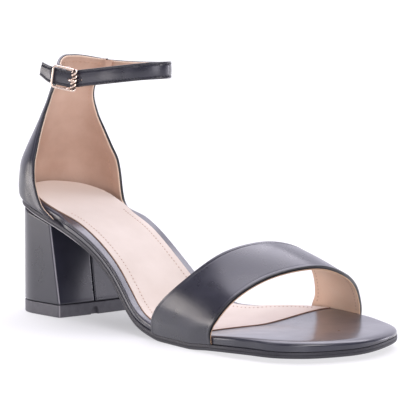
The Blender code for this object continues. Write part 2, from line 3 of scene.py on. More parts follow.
import bmesh
import bpy
import numpy as np
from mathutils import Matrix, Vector


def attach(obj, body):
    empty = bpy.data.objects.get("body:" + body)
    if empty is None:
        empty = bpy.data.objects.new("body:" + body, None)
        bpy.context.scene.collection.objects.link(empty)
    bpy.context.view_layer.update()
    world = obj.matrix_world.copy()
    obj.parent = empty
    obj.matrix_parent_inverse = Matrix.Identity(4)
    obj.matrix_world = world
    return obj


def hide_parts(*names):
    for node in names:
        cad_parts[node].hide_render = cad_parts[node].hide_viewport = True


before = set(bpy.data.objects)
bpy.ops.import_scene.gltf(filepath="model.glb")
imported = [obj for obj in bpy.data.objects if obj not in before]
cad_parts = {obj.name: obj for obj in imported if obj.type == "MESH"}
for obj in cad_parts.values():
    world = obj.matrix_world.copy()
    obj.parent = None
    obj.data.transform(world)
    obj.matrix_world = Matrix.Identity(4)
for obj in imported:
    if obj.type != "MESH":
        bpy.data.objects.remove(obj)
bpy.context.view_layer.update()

# sizes are millimetres in the shoe's own frame: x to the toe, y to the inner side, z up from the floor
shoe = {
    "centre": np.array((119.383, 2.8, 0.0)),  # this point of the floor is the frame's origin
    "gap": 0.3,  # glue line between neighbours
    "noRim": 5.0,  # rim distance of faces away from any edge
}


# sRGB hex to linear: each channel through the sRGB curve
def linearHex(text):
    srgb = np.array([int(text[i:i + 2], 16) for i in (1, 3, 5)]) / 255
    linear = np.where(srgb <= 0.04045, srgb / 12.92, ((srgb + 0.055) / 1.055) ** 2.4)
    return (*linear.tolist(), 1.0)


# sets a node's inputs: each is a value, or (node, output) for a link
def feed(tree, node, inputs):
    for key, value in inputs.items():
        if isinstance(value, tuple) and isinstance(value[0], bpy.types.Node):
            tree.links.new(value[0].outputs[value[1]], node.inputs[key])
        else:
            node.inputs[key].default_value = value


# one node with its settings and inputs
def addNode(tree, kind, settings=None, inputs=None):
    node = tree.nodes.new(kind)
    for key, value in (settings or {}).items():
        setattr(node, key, value)
    feed(tree, node, inputs or {})
    return node


# soft step: 0 below low, 1 above high, 3t^2 - 2t^3 between
def softStep(low, high, x):
    t = np.clip((x - low) / (high - low), 0, 1)
    return t * t * (3 - 2 * t)


# hump: a soft step up from start to full, times a soft step down from last to stop
def hump(x, start, full, last, stop):
    return softStep(start, full, x) * (1 - softStep(last, stop, x))


# monotone cubic through the rows ys at xs: Hermite blend, slopes the harmonic mean of their neighbours
def monotone(xs, ys, at):
    flat = np.asarray(ys, float).reshape(len(xs), -1)
    at = np.clip(np.asarray(at, float), xs[0], xs[-1])
    h = np.diff(xs)[:, None]
    d = np.diff(flat, axis=0) / h
    same = d[:-1] * d[1:] > 0
    before = np.where(same, d[:-1], 1.0)
    after = np.where(same, d[1:], 1.0)
    a = 2 * h[1:] + h[:-1]
    b = h[1:] + 2 * h[:-1]
    m = np.vstack([d[:1], np.where(same, (a + b) / (a / before + b / after), 0.0), d[-1:]])
    k = np.clip(np.searchsorted(xs, at.ravel(), side="right") - 1, 0, len(h) - 1)
    t = ((at.ravel() - xs[k]) / h[k, 0])[:, None]
    near = (1 + 2 * t) * (1 - t) ** 2 * flat[k] + t * (1 - t) ** 2 * h[k] * m[k]
    far = t * t * (3 - 2 * t) * flat[k + 1] + t * t * (t - 1) * h[k] * m[k + 1]
    return (near + far).reshape(at.shape + np.asarray(ys).shape[1:])


# running length along a polyline: the sum of its steps so far
def lengths(line):
    return np.concatenate([[0], np.cumsum(np.linalg.norm(np.diff(line, axis=0), axis=1))])


# points of a polyline at the given shares of its length
def alongLine(line, share):
    s = lengths(line)
    return np.stack([np.interp(np.asarray(share) * s[-1], s, column) for column in line.T], axis=-1)


# straight blend from first at low to second at high
def mixAt(first, second, low, high, t):
    return ((high - t) * first + (t - low) * second) / (high - low)


# centripetal Catmull-Rom curve through the points, as count + 1 points an equal length apart
def flowing(points, count, closed=False):
    p = np.asarray(points, float)
    if closed:
        q = np.vstack([p[-1:], p, p[:2]])
    else:
        q = np.vstack([2 * p[:1] - p[1:2], p, 2 * p[-1:] - p[-2:-1]])
    gap = np.sqrt(np.linalg.norm(np.diff(q, axis=0), axis=1))
    u = np.concatenate([[0], np.cumsum(gap)])
    i = np.arange(1, len(q) - 2)
    t = (u[i][:, None] + gap[i][:, None] * np.arange(40) / 40)[:, :, None]
    k = [u[i + o][:, None, None] for o in (-1, 0, 1, 2)]
    c = [q[i + o][:, None, :] for o in (-1, 0, 1, 2)]
    a = [mixAt(c[n], c[n + 1], k[n], k[n + 1], t) for n in range(3)]
    b = [mixAt(a[n], a[n + 1], k[n], k[n + 2], t) for n in range(2)]
    line = mixAt(b[0], b[1], k[1], k[2], t).reshape(-1, q.shape[1])
    return alongLine(np.vstack([line, q[-2:-1]]), np.linspace(0, 1, count + 1))


# vectors at unit length
def unit(v):
    return v / np.maximum(np.linalg.norm(v, axis=-1, keepdims=True), 1e-12)


# outward normals of a grid: its column tangent crossed with its row tangent
def gridNormals(grid):
    return unit(np.cross(np.gradient(grid, axis=1), np.gradient(grid, axis=0)))


# running length along one axis of a grid
def runLength(grid, axis):
    step = np.linalg.norm(np.diff(grid, axis=axis), axis=-1)
    pad = [(0, 0), (0, 0)]
    pad[axis] = (1, 0)
    return np.pad(np.cumsum(step, axis=axis), pad)


# distance of grid points from the nearer of the two edges along an axis
def nearerEdge(grid, axis=1):
    run = runLength(grid, axis)
    return np.minimum(run, np.take(run, [-1], axis=axis) - run)


# shares 0 to 1 along a length in mm, the near distances kept close to its end and, if asked, its start
def crowded(length, near, count, start=True):
    near = np.array(near) / length
    inside = np.linspace(near[-1] if start else 0, 1 - near[-1], count)
    return np.concatenate([near[:-1]] * start + [inside, 1 - near[:-1][::-1]])


# quads of an m by n grid, wrapped round along the rows or columns that are closed
def gridFaces(m, n, wrapRows, wrapColumns):
    i = np.arange(m if wrapRows else m - 1)[:, None]
    j = np.arange(n if wrapColumns else n - 1)[None, :]
    a = (i + 1) % m * n
    b = (j + 1) % n
    corners = np.broadcast_arrays(i * n + j, i * n + b, a + b, a + j)
    return np.stack(corners, axis=-1).reshape(-1, 4)


# mesh of points in metres and quads: doubles merged, slivers dissolved, faces turned out
def joinedMesh(name, verts, quads, rims):
    mesh = bpy.data.meshes.new(name)
    mesh.from_pydata(verts.tolist(), [], quads.tolist())
    mesh.attributes.new("rim", "FLOAT", "POINT").data.foreach_set("value", rims)
    work = bmesh.new()
    work.from_mesh(mesh)
    bmesh.ops.remove_doubles(work, verts=work.verts, dist=1e-6)
    bmesh.ops.dissolve_degenerate(work, edges=work.edges, dist=1e-7)
    bmesh.ops.recalc_face_normals(work, faces=work.faces)
    work.to_mesh(mesh)
    work.free()
    return mesh


# one piece from grids (points, wrapRows, wrapColumns, rim), shaded smooth up to the crease angle
def makePiece(name, grids, finish, stands=None, crease=40.0):
    verts = np.vstack([np.reshape(g[0], (-1, 3)) for g in grids])
    sizes = [g[0].shape[0] * g[0].shape[1] for g in grids]
    starts = np.cumsum([0] + sizes[:-1])
    quads = [gridFaces(*g[0].shape[:2], g[1], g[2]) + s for g, s in zip(grids, starts)]
    rims = [np.zeros(n) if len(g) < 4 else np.ravel(g[3]) for g, n in zip(grids, sizes)]
    mesh = joinedMesh(name, (verts - shoe["centre"]) * 0.001, np.vstack(quads), np.concatenate(rims))
    mesh.shade_smooth()
    mesh.set_sharp_from_angle(angle=math.radians(crease))
    mesh.materials.append(finish)
    piece = bpy.data.objects.new(name, mesh)
    bpy.context.scene.collection.objects.link(piece)
    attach(piece, "root")
    if stands:
        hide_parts(stands)
    return piece


# a grid that is open both ways, with one rim value for all of it
def openGrid(points, rim):
    return points, False, False, np.full(points.shape[:2], rim)


# a wall between two depths under a patch: faces moved along the normal, drawn together at the free edges
def wall(patch, normal, edge, top, bottom, easing, ends=()):
    close = np.sqrt(1 - (1 - np.clip(edge / easing, 0, 1)) ** 2)
    middle = (top + bottom) / 2 + 0 * edge
    half = (top - bottom) / 2 * close
    outside = patch + normal * (middle + half)[:, :, None]
    inside = patch + normal * (middle - half)[:, :, None]
    grids = [(outside, False, False, edge), (inside, False, False, edge)]
    for end in ends:
        strip = np.stack([outside[end], (outside[end] + inside[end]) / 2, inside[end]])
        grids.append((strip, False, False, np.stack([edge[end]] * 3)))
    return grids


# sewing thread along lines: each stitch is a bead of radius r sqrt(1 - a^2) that dips in at both ends
def stitches(name, rows, size, finish):
    pitch, length, radius = size
    a = np.linspace(-1, 1, 6)[:, None, None]
    w = np.arange(6)[None, :, None] * math.pi / 3
    bead = radius * np.sqrt(1 - a * a)
    beads = []
    for line, normal in rows:
        total = lengths(line)[-1]
        share = (np.arange(int(total / pitch)) + 0.5) * pitch / total
        at = alongLine(line, share)
        up = unit(alongLine(normal, share))
        run = unit(alongLine(line, share + 0.2 / total) - alongLine(line, share - 0.2 / total))
        side = np.cross(up, run)
        beads.append(at[:, None, None] + run[:, None, None] * a * length / 2
                     + up[:, None, None] * (bead * np.cos(w) + radius * (0.35 - 0.8 * a * a))
                     + side[:, None, None] * bead * np.sin(w) * 1.2)
    makePiece(name, [(points, False, True) for points in np.vstack(beads)], finish)


# finishes

# a new material with its tree, its shader and the object's own coordinates
def newFinish(name):
    material = bpy.data.materials.new(name)
    material.use_nodes = True
    tree = material.node_tree
    place = (addNode(tree, "ShaderNodeTexCoord"), "Object")
    return material, tree, tree.nodes["Principled BSDF"], place


# a value carried from low..high to first..last, softly or in a straight line
def remap(tree, value, low, high, first, last, kind="SMOOTHSTEP"):
    node = addNode(tree, "ShaderNodeMapRange", {"interpolation_type": kind}, {
        "Value": value, "From Min": low, "From Max": high, "To Min": first, "To Max": last})
    return node, "Result"


# a colour laid over another by a share
def laidOver(tree, share, under, over):
    colours = {0: share, 6: under, 7: linearHex(over)}
    return addNode(tree, "ShaderNodeMix", {"data_type": "RGBA"}, colours), 2


# a ramp from dark at low to light at high
def toned(tree, value, dark, light, low=0.0, high=1.0):
    ramp = addNode(tree, "ShaderNodeValToRGB", {}, {"Fac": value})
    for stop, position, colour in zip(ramp.color_ramp.elements, (low, high), (dark, light)):
        stop.position = position
        stop.color = linearHex(colour)
    return ramp, "Color"


# the rim attribute: distance from a cut or folded edge, or depth of a hollow, in mm
def rimValue(tree):
    return addNode(tree, "ShaderNodeAttribute", {"attribute_name": "rim"}), "Fac"


# soft noise with its patches a size in mm
def noise(tree, place, mm, **more):
    inputs = {"Vector": place, "Scale": 1000 / mm, **more}
    return addNode(tree, "ShaderNodeTexNoise", {}, inputs), "Fac"


# a coated natural surface: two close colours in soft patches, pores or pebbles in relief, gloss that varies
def grainedFinish(name, look):
    material, tree, shader, place = newFinish(name)
    dark, light, patchMm = look["tone"]
    poreMm, fineMm, reliefMm, strength = look["grain"]
    rough, spread = look["gloss"]
    patch = noise(tree, place, patchMm, Detail=4.0, Roughness=0.55)
    colour = toned(tree, patch, dark, light, 0.32, 0.68)
    if "seat" in look:  # painted light: the leather is paler from one x back to the other, in mm of the frame, lifting the shade the counter walls cast on the heel seat
        paintedSeatLight, back, front = look["seat"]
        split = addNode(tree, "ShaderNodeSeparateXYZ", {}, {"Vector": place})
        share = remap(tree, (split, "X"), back / 1000, front / 1000, 1.0, 0.0)
        colour = laidOver(tree, share, colour, paintedSeatLight)
    if "edge" in look:
        # the colour laid on near the rim: a cut edge's own colour on the leathers, a painted highlight on
        # the heel, the tip and the outsole
        edgeTintAndHighlight, near, far = look["edge"]
        colour = laidOver(tree, remap(tree, rimValue(tree), near, far, 1.0, 0.0), colour, edgeTintAndHighlight)
    pores = addNode(tree, "ShaderNodeTexVoronoi", {"feature": "F1"}, {
        "Vector": place, "Scale": 1000 / poreMm, "Randomness": 1.0})
    fine = noise(tree, place, fineMm, Detail=3.0)  # a little flatter than the pores
    height = addNode(tree, "ShaderNodeMath", {"operation": "MULTIPLY_ADD"}, {
        0: fine, 1: 0.8, 2: (pores, "Distance")})
    bump = addNode(tree, "ShaderNodeBump", {}, {
        "Height": (height, "Value"), "Strength": strength, "Distance": reliefMm / 1000})
    gloss = remap(tree, patch, 0.3, 0.7, rough - spread, rough + spread, "LINEAR")
    feed(tree, shader, {"Base Color": colour, "Normal": (bump, "Normal"), "Roughness": gloss})
    feed(tree, shader, look.get("sockets", {}))
    return material


# polished plated metal: a clean mirror, fine handling scratches in its gloss, darker brown in its hollows
def metalFinish(name, look):
    material, tree, shader, place = newFinish(name)
    dark, light, wearMm = look["tone"]
    brown, near, far = look["hollow"]
    smooth, rough = look["gloss"]
    wear = noise(tree, place, wearMm, Detail=5.0)
    sunk = remap(tree, rimValue(tree), near, far, 0.0, 1.0)
    feed(tree, shader, {
        "Base Color": laidOver(tree, sunk, toned(tree, wear, dark, light), brown),
        "Roughness": remap(tree, wear, 0.3, 0.75, smooth, rough, "LINEAR"), "Metallic": 1.0})
    return material


# tone: dark and light colour, patch mm; edge: colour at the rim, a cut edge's own colour on the leathers and
# a painted highlight on the heel, tip and outsole, with its mm from the rim; gloss: roughness and its
# spread;
# grain: pore mm, fine grain mm, relief mm, strength

# smooth finished calf: near-black with a blue cast, a soft sheen and a grain almost too fine to see
blackCalf = grainedFinish("smoothBlackCalf", {
    "tone": ("#1f1f2b", "#282836", 9.0), "edge": ("#14141b", 0.2, 0.9),
    "grain": (0.75, 0.3, 0.05, 0.34),  # real pores are about 0.15 mm, drawn coarser so they show
    "gloss": (0.31, 0.08), "sockets": {"IOR": 1.5, "Coat Weight": 0.4, "Coat Roughness": 0.24}})
# the same calf stretched over the footbed edge: a little glossier where it is pressed
wrappedCalf = grainedFinish("pressedBlackCalf", {
    "tone": ("#22222f", "#2b2b39", 12.0), "grain": (0.8, 0.3, 0.04, 0.06),
    "gloss": (0.31, 0.04), "sockets": {"IOR": 1.5, "Coat Weight": 0.65, "Coat Roughness": 0.22}})
# heel cover: thin calf glued tight over a moulded block, shinier, with a painted highlight as a pale line
# down the breast's corners
heelCalf = grainedFinish("gluedHeelCalf", {
    "tone": ("#1d1d29", "#262633", 15.0), "edge": ("#7d7a82", 0.15, 0.5), "grain": (0.9, 0.35, 0.03, 0.06),
    "gloss": (0.29, 0.03), "sockets": {"IOR": 1.5, "Coat Weight": 0.45, "Coat Roughness": 0.18}})
# lining leather: matte, with pores about 0.3 mm, drawn coarser so they show
liningSkin = {"grain": (1.1, 0.5, 0.06, 0.25), "gloss": (0.58, 0.05), "sockets": {"IOR": 1.45}}
# nude lining: warm pinkish beige
nudeLining = grainedFinish("nudeLiningLeather", {
    "tone": ("#c3a18d", "#d1b29f", 14.0), "edge": ("#e6cdb8", 0.3, 0.8), **liningSkin})
# the strap's lining: the same leather from a paler side of the skin
paleLining = grainedFinish("paleLiningLeather", {
    "tone": ("#f2cfb4", "#f6d9c2", 14.0), "edge": ("#d2ae90", 0.1, 0.5), **liningSkin})
# sock leather: paler than the lining, powdery matte with a faint pink cast; paler again towards the heel as
# painted light against the counter's shade
sockLeather = grainedFinish("paleSockLeather", {
    "tone": ("#d0c4bb", "#d9cec6", 22.0), "edge": ("#917667", 0.1, 0.4), "seat": ("#e9ddd4", -98.0, -62.0),
    "grain": (0.9, 0.4, 0.04, 0.2), "gloss": (0.8, 0.05),
    "sockets": {"IOR": 1.45, "Specular IOR Level": 0.25}})
# resin outsole: matte grey-black, its sanded edge speckled, with a painted highlight as a pale line along
# its lower corner under the arch
soleResin = grainedFinish("sandedSoleResin", {
    "tone": ("#29282f", "#36353c", 1.4), "edge": ("#b9b5b8", 0.1, 0.9), "grain": (0.5, 0.25, 0.05, 0.3),
    "gloss": (0.5, 0.08), "sockets": {"IOR": 1.5}})
# heel tip rubber: dense and matte, with a mould's fine texture, and a painted highlight as a pale line down
# the breast's corners
tipRubber = grainedFinish("mouldedTipRubber", {
    "tone": ("#4c4b52", "#5a595f", 3.0), "edge": ("#8d898e", 0.15, 0.5), "grain": (0.6, 0.3, 0.04, 0.3),
    "gloss": (0.48, 0.05), "sockets": {"IOR": 1.52}})
# waxed polyester thread: black on the straps, tan on the linings, nearly the sock's own colour on the sock
waxed = {"grain": (0.3, 0.2, 0.05, 0.4), "gloss": (0.5, 0.05)}
blackThread = grainedFinish("waxedBlackThread", {"tone": ("#1c1c24", "#2c2c36", 1.0), **waxed})
nudeThread = grainedFinish("waxedNudeThread", {"tone": ("#bd987f", "#cda892", 1.0), **waxed})
sockThread = grainedFinish("waxedSockThread", {
    "tone": ("#b79c8e", "#c9b0a3", 1.0), **waxed, "gloss": (0.6, 0.05)})
# pale rose-gold plate over cast zinc, darker brown in the hollows of the twist
roseGold = metalFinish("roseGoldPlate", {
    "tone": ("#d8c1b2", "#e8d6ca", 1.5), "gloss": (0.126, 0.27), "hollow": ("#4b3d36", 0.04, 0.24)})
print("finishes made")


# sole: shared plan and heights

sole = {
    "steps": 170,
    "sheet": 2.6,  # outsole thickness
    "heelTip": (7.4, 0.0),
    "toeTip": (232.0, 1.6),
    "plan": np.array([
        # x, lateral, medial half width
        (14.6, 17.0, 17.0),
        (31.0, 25.0, 24.6),
        (58.0, 25.3, 23.2),
        (92.0, 25.4, 20.6),
        (121.5, 31.2, 27.4),
        (146.0, 35.6, 36.0),
        (169.0, 38.5, 42.6),
        (194.0, 38.4, 44.2),
        (213.0, 33.2, 38.4),
        (226.0, 19.8, 23.6)]),
    "line": np.array([
        # x, outer, inner height of the underside
        (0.0, 55.2, 55.2),
        (28.0, 50.0, 50.0),
        (55.0, 41.8, 41.8),
        (69.0, 36.4, 36.2),
        (80.0, 30.6, 30.0),
        (90.0, 23.6, 23.2),
        (99.0, 15.8, 16.0),
        (107.5, 8.8, 10.2),
        (116.0, 4.2, 6.4),
        (126.0, 1.5, 3.8),
        (138.0, 0.0, 2.8),
        (160.0, 0.0, 2.8),
        (174.0, 1.0, 2.9),
        (188.0, 1.8, 3.0),
        (200.0, 2.4, 3.1),
        (213.0, 2.9, 3.2),
        (234.0, 3.6, 3.6)]),
    "boardTop": np.array([
        # x, outer, inner height of the board's top over the underside
        (0.0, 6.6, 6.6),
        (50.0, 6.5, 6.5),
        (95.0, 6.0, 6.0),
        (124.0, 6.0, 7.6),
        (142.0, 6.2, 8.6),
        (168.0, 6.6, 8.8),
        (190.0, 7.0, 7.4),
        (205.0, 6.9, 6.4),
        (217.0, 6.4, 6.0),
        (234.0, 5.2, 5.2)]),
    "inner": (2.0, 40.0),  # y over which the outer height turns into the inner one
    "toeDrop": (180.0, 232.0, 1.25),  # x from and to, and how far the outer toe's underside sinks
    "toeDropY": (-8.0, 24.0),  # the sinking fades out over these y
    "toeCorner": (198.0, 214.0, 222.0, 232.0),  # x over which the outer toe corner stands fuller
    "toeCornerOut": 1.2,
}


# outer column blended to the inner column over the inner half of the sole
def readAcross(table, x, y):
    outer, inner = np.moveaxis(monotone(table[:, 0], table[:, 1:], x), -1, 0)
    return outer + (inner - outer) * softStep(*sole["inner"], y)


# how far the outer toe sinks: grows from the strap to the front, fades out past the middle
def toeDrop(x, y):
    start, full, deep = sole["toeDrop"]
    return deep * softStep(start, full, x) * (1 - softStep(*sole["toeDropY"], y))


# height of the underside over the floor: the sole line less the sunk toe
def underside(x, y):
    return readAcross(sole["line"], x, y) - toeDrop(x, y)


# height of the board's top over the underside: deeper by as much as the toe sinks
def boardTop(plan):
    x, y = np.moveaxis(plan, -1, 0)
    return readAcross(sole["boardTop"], x, y) + toeDrop(x, y)


# 0 along the sides, up to the corner's fullness at the outer front corner
def toeCorner(x, side):
    return (1 - side) * sole["toeCornerOut"] * hump(x, *sole["toeCorner"])


# plan points set on the sole line, then raised square to it
def onSole(plan, height):
    x, y = np.moveaxis(plan, -1, 0)
    slope = underside(x + 0.5, y) - underside(x - 0.5, y)
    size = np.sqrt(1 + slope * slope)
    z = underside(x, y)
    return np.stack([x - height * slope / size, y, z + height / size], axis=-1)


# the plan as two lines from heel tip to toe tip, outer then inner
def soleSides():
    outer = sole["plan"][:, :2] * (1, -1)
    inner = sole["plan"][::-1, ::2]
    loop = np.vstack([[sole["heelTip"]], outer, [sole["toeTip"]], inner])
    ring = flowing(loop, 3200, closed=True)
    toe = int(np.argmin(np.linalg.norm(ring - np.array(sole["toeTip"]), axis=1)))
    return ring[:toe + 1], ring[toe:][::-1]


outerSide, innerSide = soleSides()
bothSides = ((outerSide, -1), (innerSide, 1))


# one side moved in by depth, square to its edge
def movedIn(side, sign, depth):
    t = np.gradient(side, axis=0)
    t[0] = (0, sign)
    t[-1] = (0, -sign)
    t = unit(t)
    return side + np.stack([-t[:, 1], t[:, 0]], axis=1) * -sign * np.reshape(depth, (-1, 1))


# both sides moved in by depth(x, side); the tips meet, or the front is cut off at x
def solePair(depth, front=None):
    pair = []
    for which, (side, sign) in enumerate(bothSides):
        line = movedIn(side, sign, depth(side[:, 0], which))
        if front:
            line = line[line[:, 0] <= front[which]]
        pair.append(alongLine(line, np.linspace(0, 1, sole["steps"] + 1)))
    for tip in (0,) if front else (0, -1):
        pair[0][tip] = pair[1][tip] = (pair[0][tip] + pair[1][tip]) / 2
    return pair


# rungs across the sole between a pair of lines
def rungs(pair, count):
    f = np.linspace(0, 1, count + 1)[None, :, None]
    return pair[0][:, None] * (1 - f) + pair[1][:, None] * f


# sole layer from rows of (rungs, height): loops stacked from underside to top, and the end rows' rungs
def soleLayer(rows):
    loops = [np.vstack([across[:, 0], across[-1, 1:-1], across[::-1, -1]]) for across, height in rows]
    walls = [onSole(loop, height(loop)) for loop, (across, height) in zip(loops, rows)]
    low, high = [onSole(across, height(across)) for across, height in (rows[0], rows[-1])]
    return np.array(walls), low, high


outsoleLook = {
    "rungs": 16,
    "toeOut": (200.0, 226.0, 0.1),  # x from and to, and how much further out the tip stands
    "paintedHighlightHeight": 0.25,  # height of the painted highlight line on the lower corner
    "paintedHighlightTo": (62.0, 92.0),  # the painted highlight fades out over these x
    "rows": np.array([
        # in from the edge, height: eased foot, a scored line, a bevelled top edge
        (6.0, 0.0),
        (1.2, 0.0),
        (0.7, 0.1),
        (0.32, 0.35),
        (0.08, 0.75),
        (0.0, 1.1),
        (0.0, 1.4),
        (0.16, 1.5),
        (0.0, 1.6),
        (0.0, 2.6),
        (0.05, 2.74),
        (0.15, 2.8),
        (0.6, 2.82),
        (2.0, 2.82)]),
}


# outsole: the plan stacked up its edge rows, fuller at the toe; rim counts up from the painted highlight
# line on the lower corner
def buildOutsole():
    start, full, out = outsoleLook["toeOut"]
    section = outsoleLook["rows"]
    rows = []
    for inward, height in section:
        pair = solePair(lambda x, side: inward - out * softStep(start, full, x) - toeCorner(x, side))
        rows.append((rungs(pair, outsoleLook["rungs"]), lambda plan, h=height: h + 0 * plan[..., 0]))
    walls, low, high = soleLayer(rows)
    # the rim is least on the painted highlight line, so the pale edge colour falls there and fades out
    # towards the forefoot
    rim = np.abs(section[:, 1] - outsoleLook["paintedHighlightHeight"])[:, None] + 2 * (section[:, :1] > 1)
    rim = rim + 2 * softStep(*outsoleLook["paintedHighlightTo"], walls[..., 0])
    grids = [(walls, False, True, rim), openGrid(low, shoe["noRim"]), openGrid(high, shoe["noRim"])]
    makePiece("outsole_sheet", grids, soleResin, "outsole")


board = {
    "rungs": 30,
    "beyond": (2.35, 1.35, 48.0, 58.0),  # inset at the heel, less this much in front of the counter
    "flush": 0.7,  # and less again at the waist
    "round": (1.6, 1.6),  # width and height of the rounded top edge
    "waistRound": 0.45,
    "toeRound": (4.2, 1.8),
    "side": 2.4,  # height of the finely divided part of the side
    "least": 0.45,  # the side is at least this high
    "bead": ((0.5, 0.4), (1.5, 0.45)),  # waist grooves either side of a bead: drop under the top, depth
    "beadWide": 0.2,
    "waist": (50.0, 60.0, 108.0, 126.0),
    "toe": (192.0, 218.0),
    "toeFull": (200.0, 222.0, 0.9),  # the toe's side comes out nearly flush with the outsole
}


# 1 along the waist, 0 at the heel and forefoot
def atWaist(x):
    return hump(x, *board["waist"])


# 0 behind the toe strap, 1 in front of it
def atToe(x):
    return softStep(*board["toe"], x)


# the board's inset from the plan: the heel's, less soft steps at the counter, the waist and the toe
def boardInset(x):
    deep, less, start, stop = board["beyond"]
    low, high, full = board["toeFull"]
    forward = less * softStep(start, stop, x) + full * softStep(low, high, x)
    return deep - forward - board["flush"] * atWaist(x)


# wrapped board: an upright side, two fine grooves at the waist, an elliptical shoulder and a flat top
def buildBoard():
    low = sole["sheet"] + shoe["gap"]
    wide, high = board["round"]
    narrow = board["waistRound"]
    tight = narrow / wide
    broad = board["toeRound"][0] / wide
    tall = board["toeRound"][1] / high
    section = [(6.0, None, 0.0), (0.6, None, 0.0), (0.06, -0.06, 0.0), (0.0, -0.2, 0.0)]
    section += [(0.0, high + drop, drop) for drop in np.linspace(board["side"], 0.0, 41)]
    for a in np.linspace(0, math.pi / 2, 9)[1:]:
        section.append((wide * (1 - math.cos(a)), high * (1 - math.sin(a)), 0.0))
    section += [(5.2, 0.0, 0.0), (7.0, 0.0, 0.0)]
    rows = []
    for inward, level, under in section:  # in from the edge, drop from the top, drop under the shoulder
        fromTop = narrow + under * (board["side"] + high - narrow) / board["side"]
        groove = 0.0
        for at, deep in (board["bead"] if under else ()):
            groove += deep * math.exp(-((fromTop - at) / board["beadWide"]) ** 2)

        def depth(x, side):
            swell = (tight - 1) * atWaist(x) + (broad - 1) * atToe(x)
            shoulder = inward * (1 + swell * (inward < wide + 0.01))
            return boardInset(x) - toeCorner(x, side) + shoulder + groove * atWaist(x)

        def height(plan, d=level, u=under, f=fromTop):
            if d is None or d < 0:
                return low - (d or 0.0) + 0 * plan[..., 0]
            waistDrop = f if u else d * tight
            frontDrop = d + high * (tall - 1) if u else d * tall
            drop = d + (waistDrop - d) * atWaist(plan[..., 0]) + (frontDrop - d) * atToe(plan[..., 0])
            return np.maximum(boardTop(plan) - drop, low + board["least"])

        rows.append((rungs(solePair(depth), board["rungs"]), height))
    walls, bottom, top = soleLayer(rows)
    grids = [(walls, False, True), (bottom, False, False), (top, False, False)]
    makePiece("footbed_board", grids, wrappedCalf, "insole_board")


sock = {
    "rungs": 40,
    "thick": 0.5,
    "under": 0.3,  # the edge reaches this far down into the board's cover
    "front": (161.0, 171.0),  # cut line at the outer and inner side
    "frontBow": 5.0,  # the cut hollows back between them, most at its outer third
    "climb": (6.0, 42.0, 1.8),  # the seat climbs this much from one x back to the other, inside the counter
    "margin": (2.75, 1.6, 44.0, 62.0),  # at the heel, and more in front of the counter
    "swells": (
        # 0 outer or 1 inner side, more margin, x where it starts, is full, begins to fade and ends
        (0, 1.5, 10.0, 24.0, 56.0, 84.0),
        (0, -0.6, 75.0, 100.0, 125.0, 145.0),
        (1, 1.2, 26.0, 44.0, 52.0, 72.0),
        (1, -1.6, 132.0, 152.0, 240.0, 250.0)),
    "stitchIn": 4.0,
    "stitchFrom": 50.0,
    "stitchTo": (157.0, 167.0),
    "stitch": (2.1, 1.0, 0.28),  # pitch, length, thread radius
}


# the sock's inset from the plan: its margin, swelled softly along either side
def sockInset(x, side):
    deep, more, start, stop = sock["margin"]
    swell = sum(extra * hump(x, *places) for which, extra, *places in sock["swells"] if which == side)
    return deep + more * softStep(start, stop, x) + swell


# height of the sock over the underside: the board's top, and a soft climb to the back of the heel
def sockTop(plan, lift):
    start, stop, high = sock["climb"]
    return boardTop(plan) + lift + high * (1 - softStep(start, stop, plan[..., 0]))


# sock: a thin sheet glued on the board with a raw cut edge, its rim value counting in from that edge
def buildSock():
    thick = sock["thick"]
    low = -sock["under"]
    section = [(4.0, low), (0.1, low), (0.0, low + 0.1), (0.0, thick - 0.3), (0.06, thick - 0.14),
               (0.22, thick - 0.03), (0.5, thick), (1.0, thick)]
    f = np.linspace(0, 1, sock["rungs"] + 1)
    hollow = sock["frontBow"] * np.sin(math.pi * f) * (1 - f)
    forward = np.linspace(0, 1, sole["steps"] + 1)[:, None] ** 6
    rows = []
    for inward, lift in section:
        pair = solePair(lambda x, side: sockInset(x, side) + inward, sock["front"])
        pair[0][-1, 0] -= inward  # the front edge is eased as the sides are
        pair[1][-1, 0] -= inward
        across = rungs(pair, sock["rungs"])
        across[..., 0] -= forward * hollow
        rows.append((across, lambda plan, up=lift: sockTop(plan, up)))
    walls, bottom, top = soleLayer(rows)
    rims = [np.full(walls.shape[1], inward if lift > 0.3 else 0.0) for inward, lift in section]
    grids = [(walls, False, True, np.array(rims)), (bottom, False, False), openGrid(top, shoe["noRim"])]
    makePiece("sock_lining_sheet", grids, sockLeather, "sock_lining")
    lines = []
    for line in solePair(lambda x, side: sockInset(x, side) + sock["stitchIn"], sock["stitchTo"]):
        line = line[line[:, 0] > sock["stitchFrom"]]
        raised = onSole(line, sockTop(line, thick))
        lines.append((raised, onSole(line, sockTop(line, thick + 1.0)) - raised))
    stitches("sock_stitches", lines, sock["stitch"], sockThread)


buildOutsole()
buildBoard()
buildSock()
print("sole layers made")


# heel

heel = {
    "foot": (12.2, 51.6, 23.4, 2.5),  # back x, front x, half width, roundness of the back
    "seat": (13.4, 46.4, 24.8, 2.05),
    "widest": 0.55,  # share of the length at which the back's curve ends
    "corner": 1.4,
    "bow": 0.8,  # the breast bulges this much at its middle
    "lift": 6.0,
    "seam": (1.2, 0.42),  # depth and half width of the join down the breast
    "seamAt": -2.24,  # y of the join and of the mould mark
    "notch": (2.2, 3.6, 1.6),  # half width, height and depth of the mould mark in the tip
    "crease": 50.0,
}


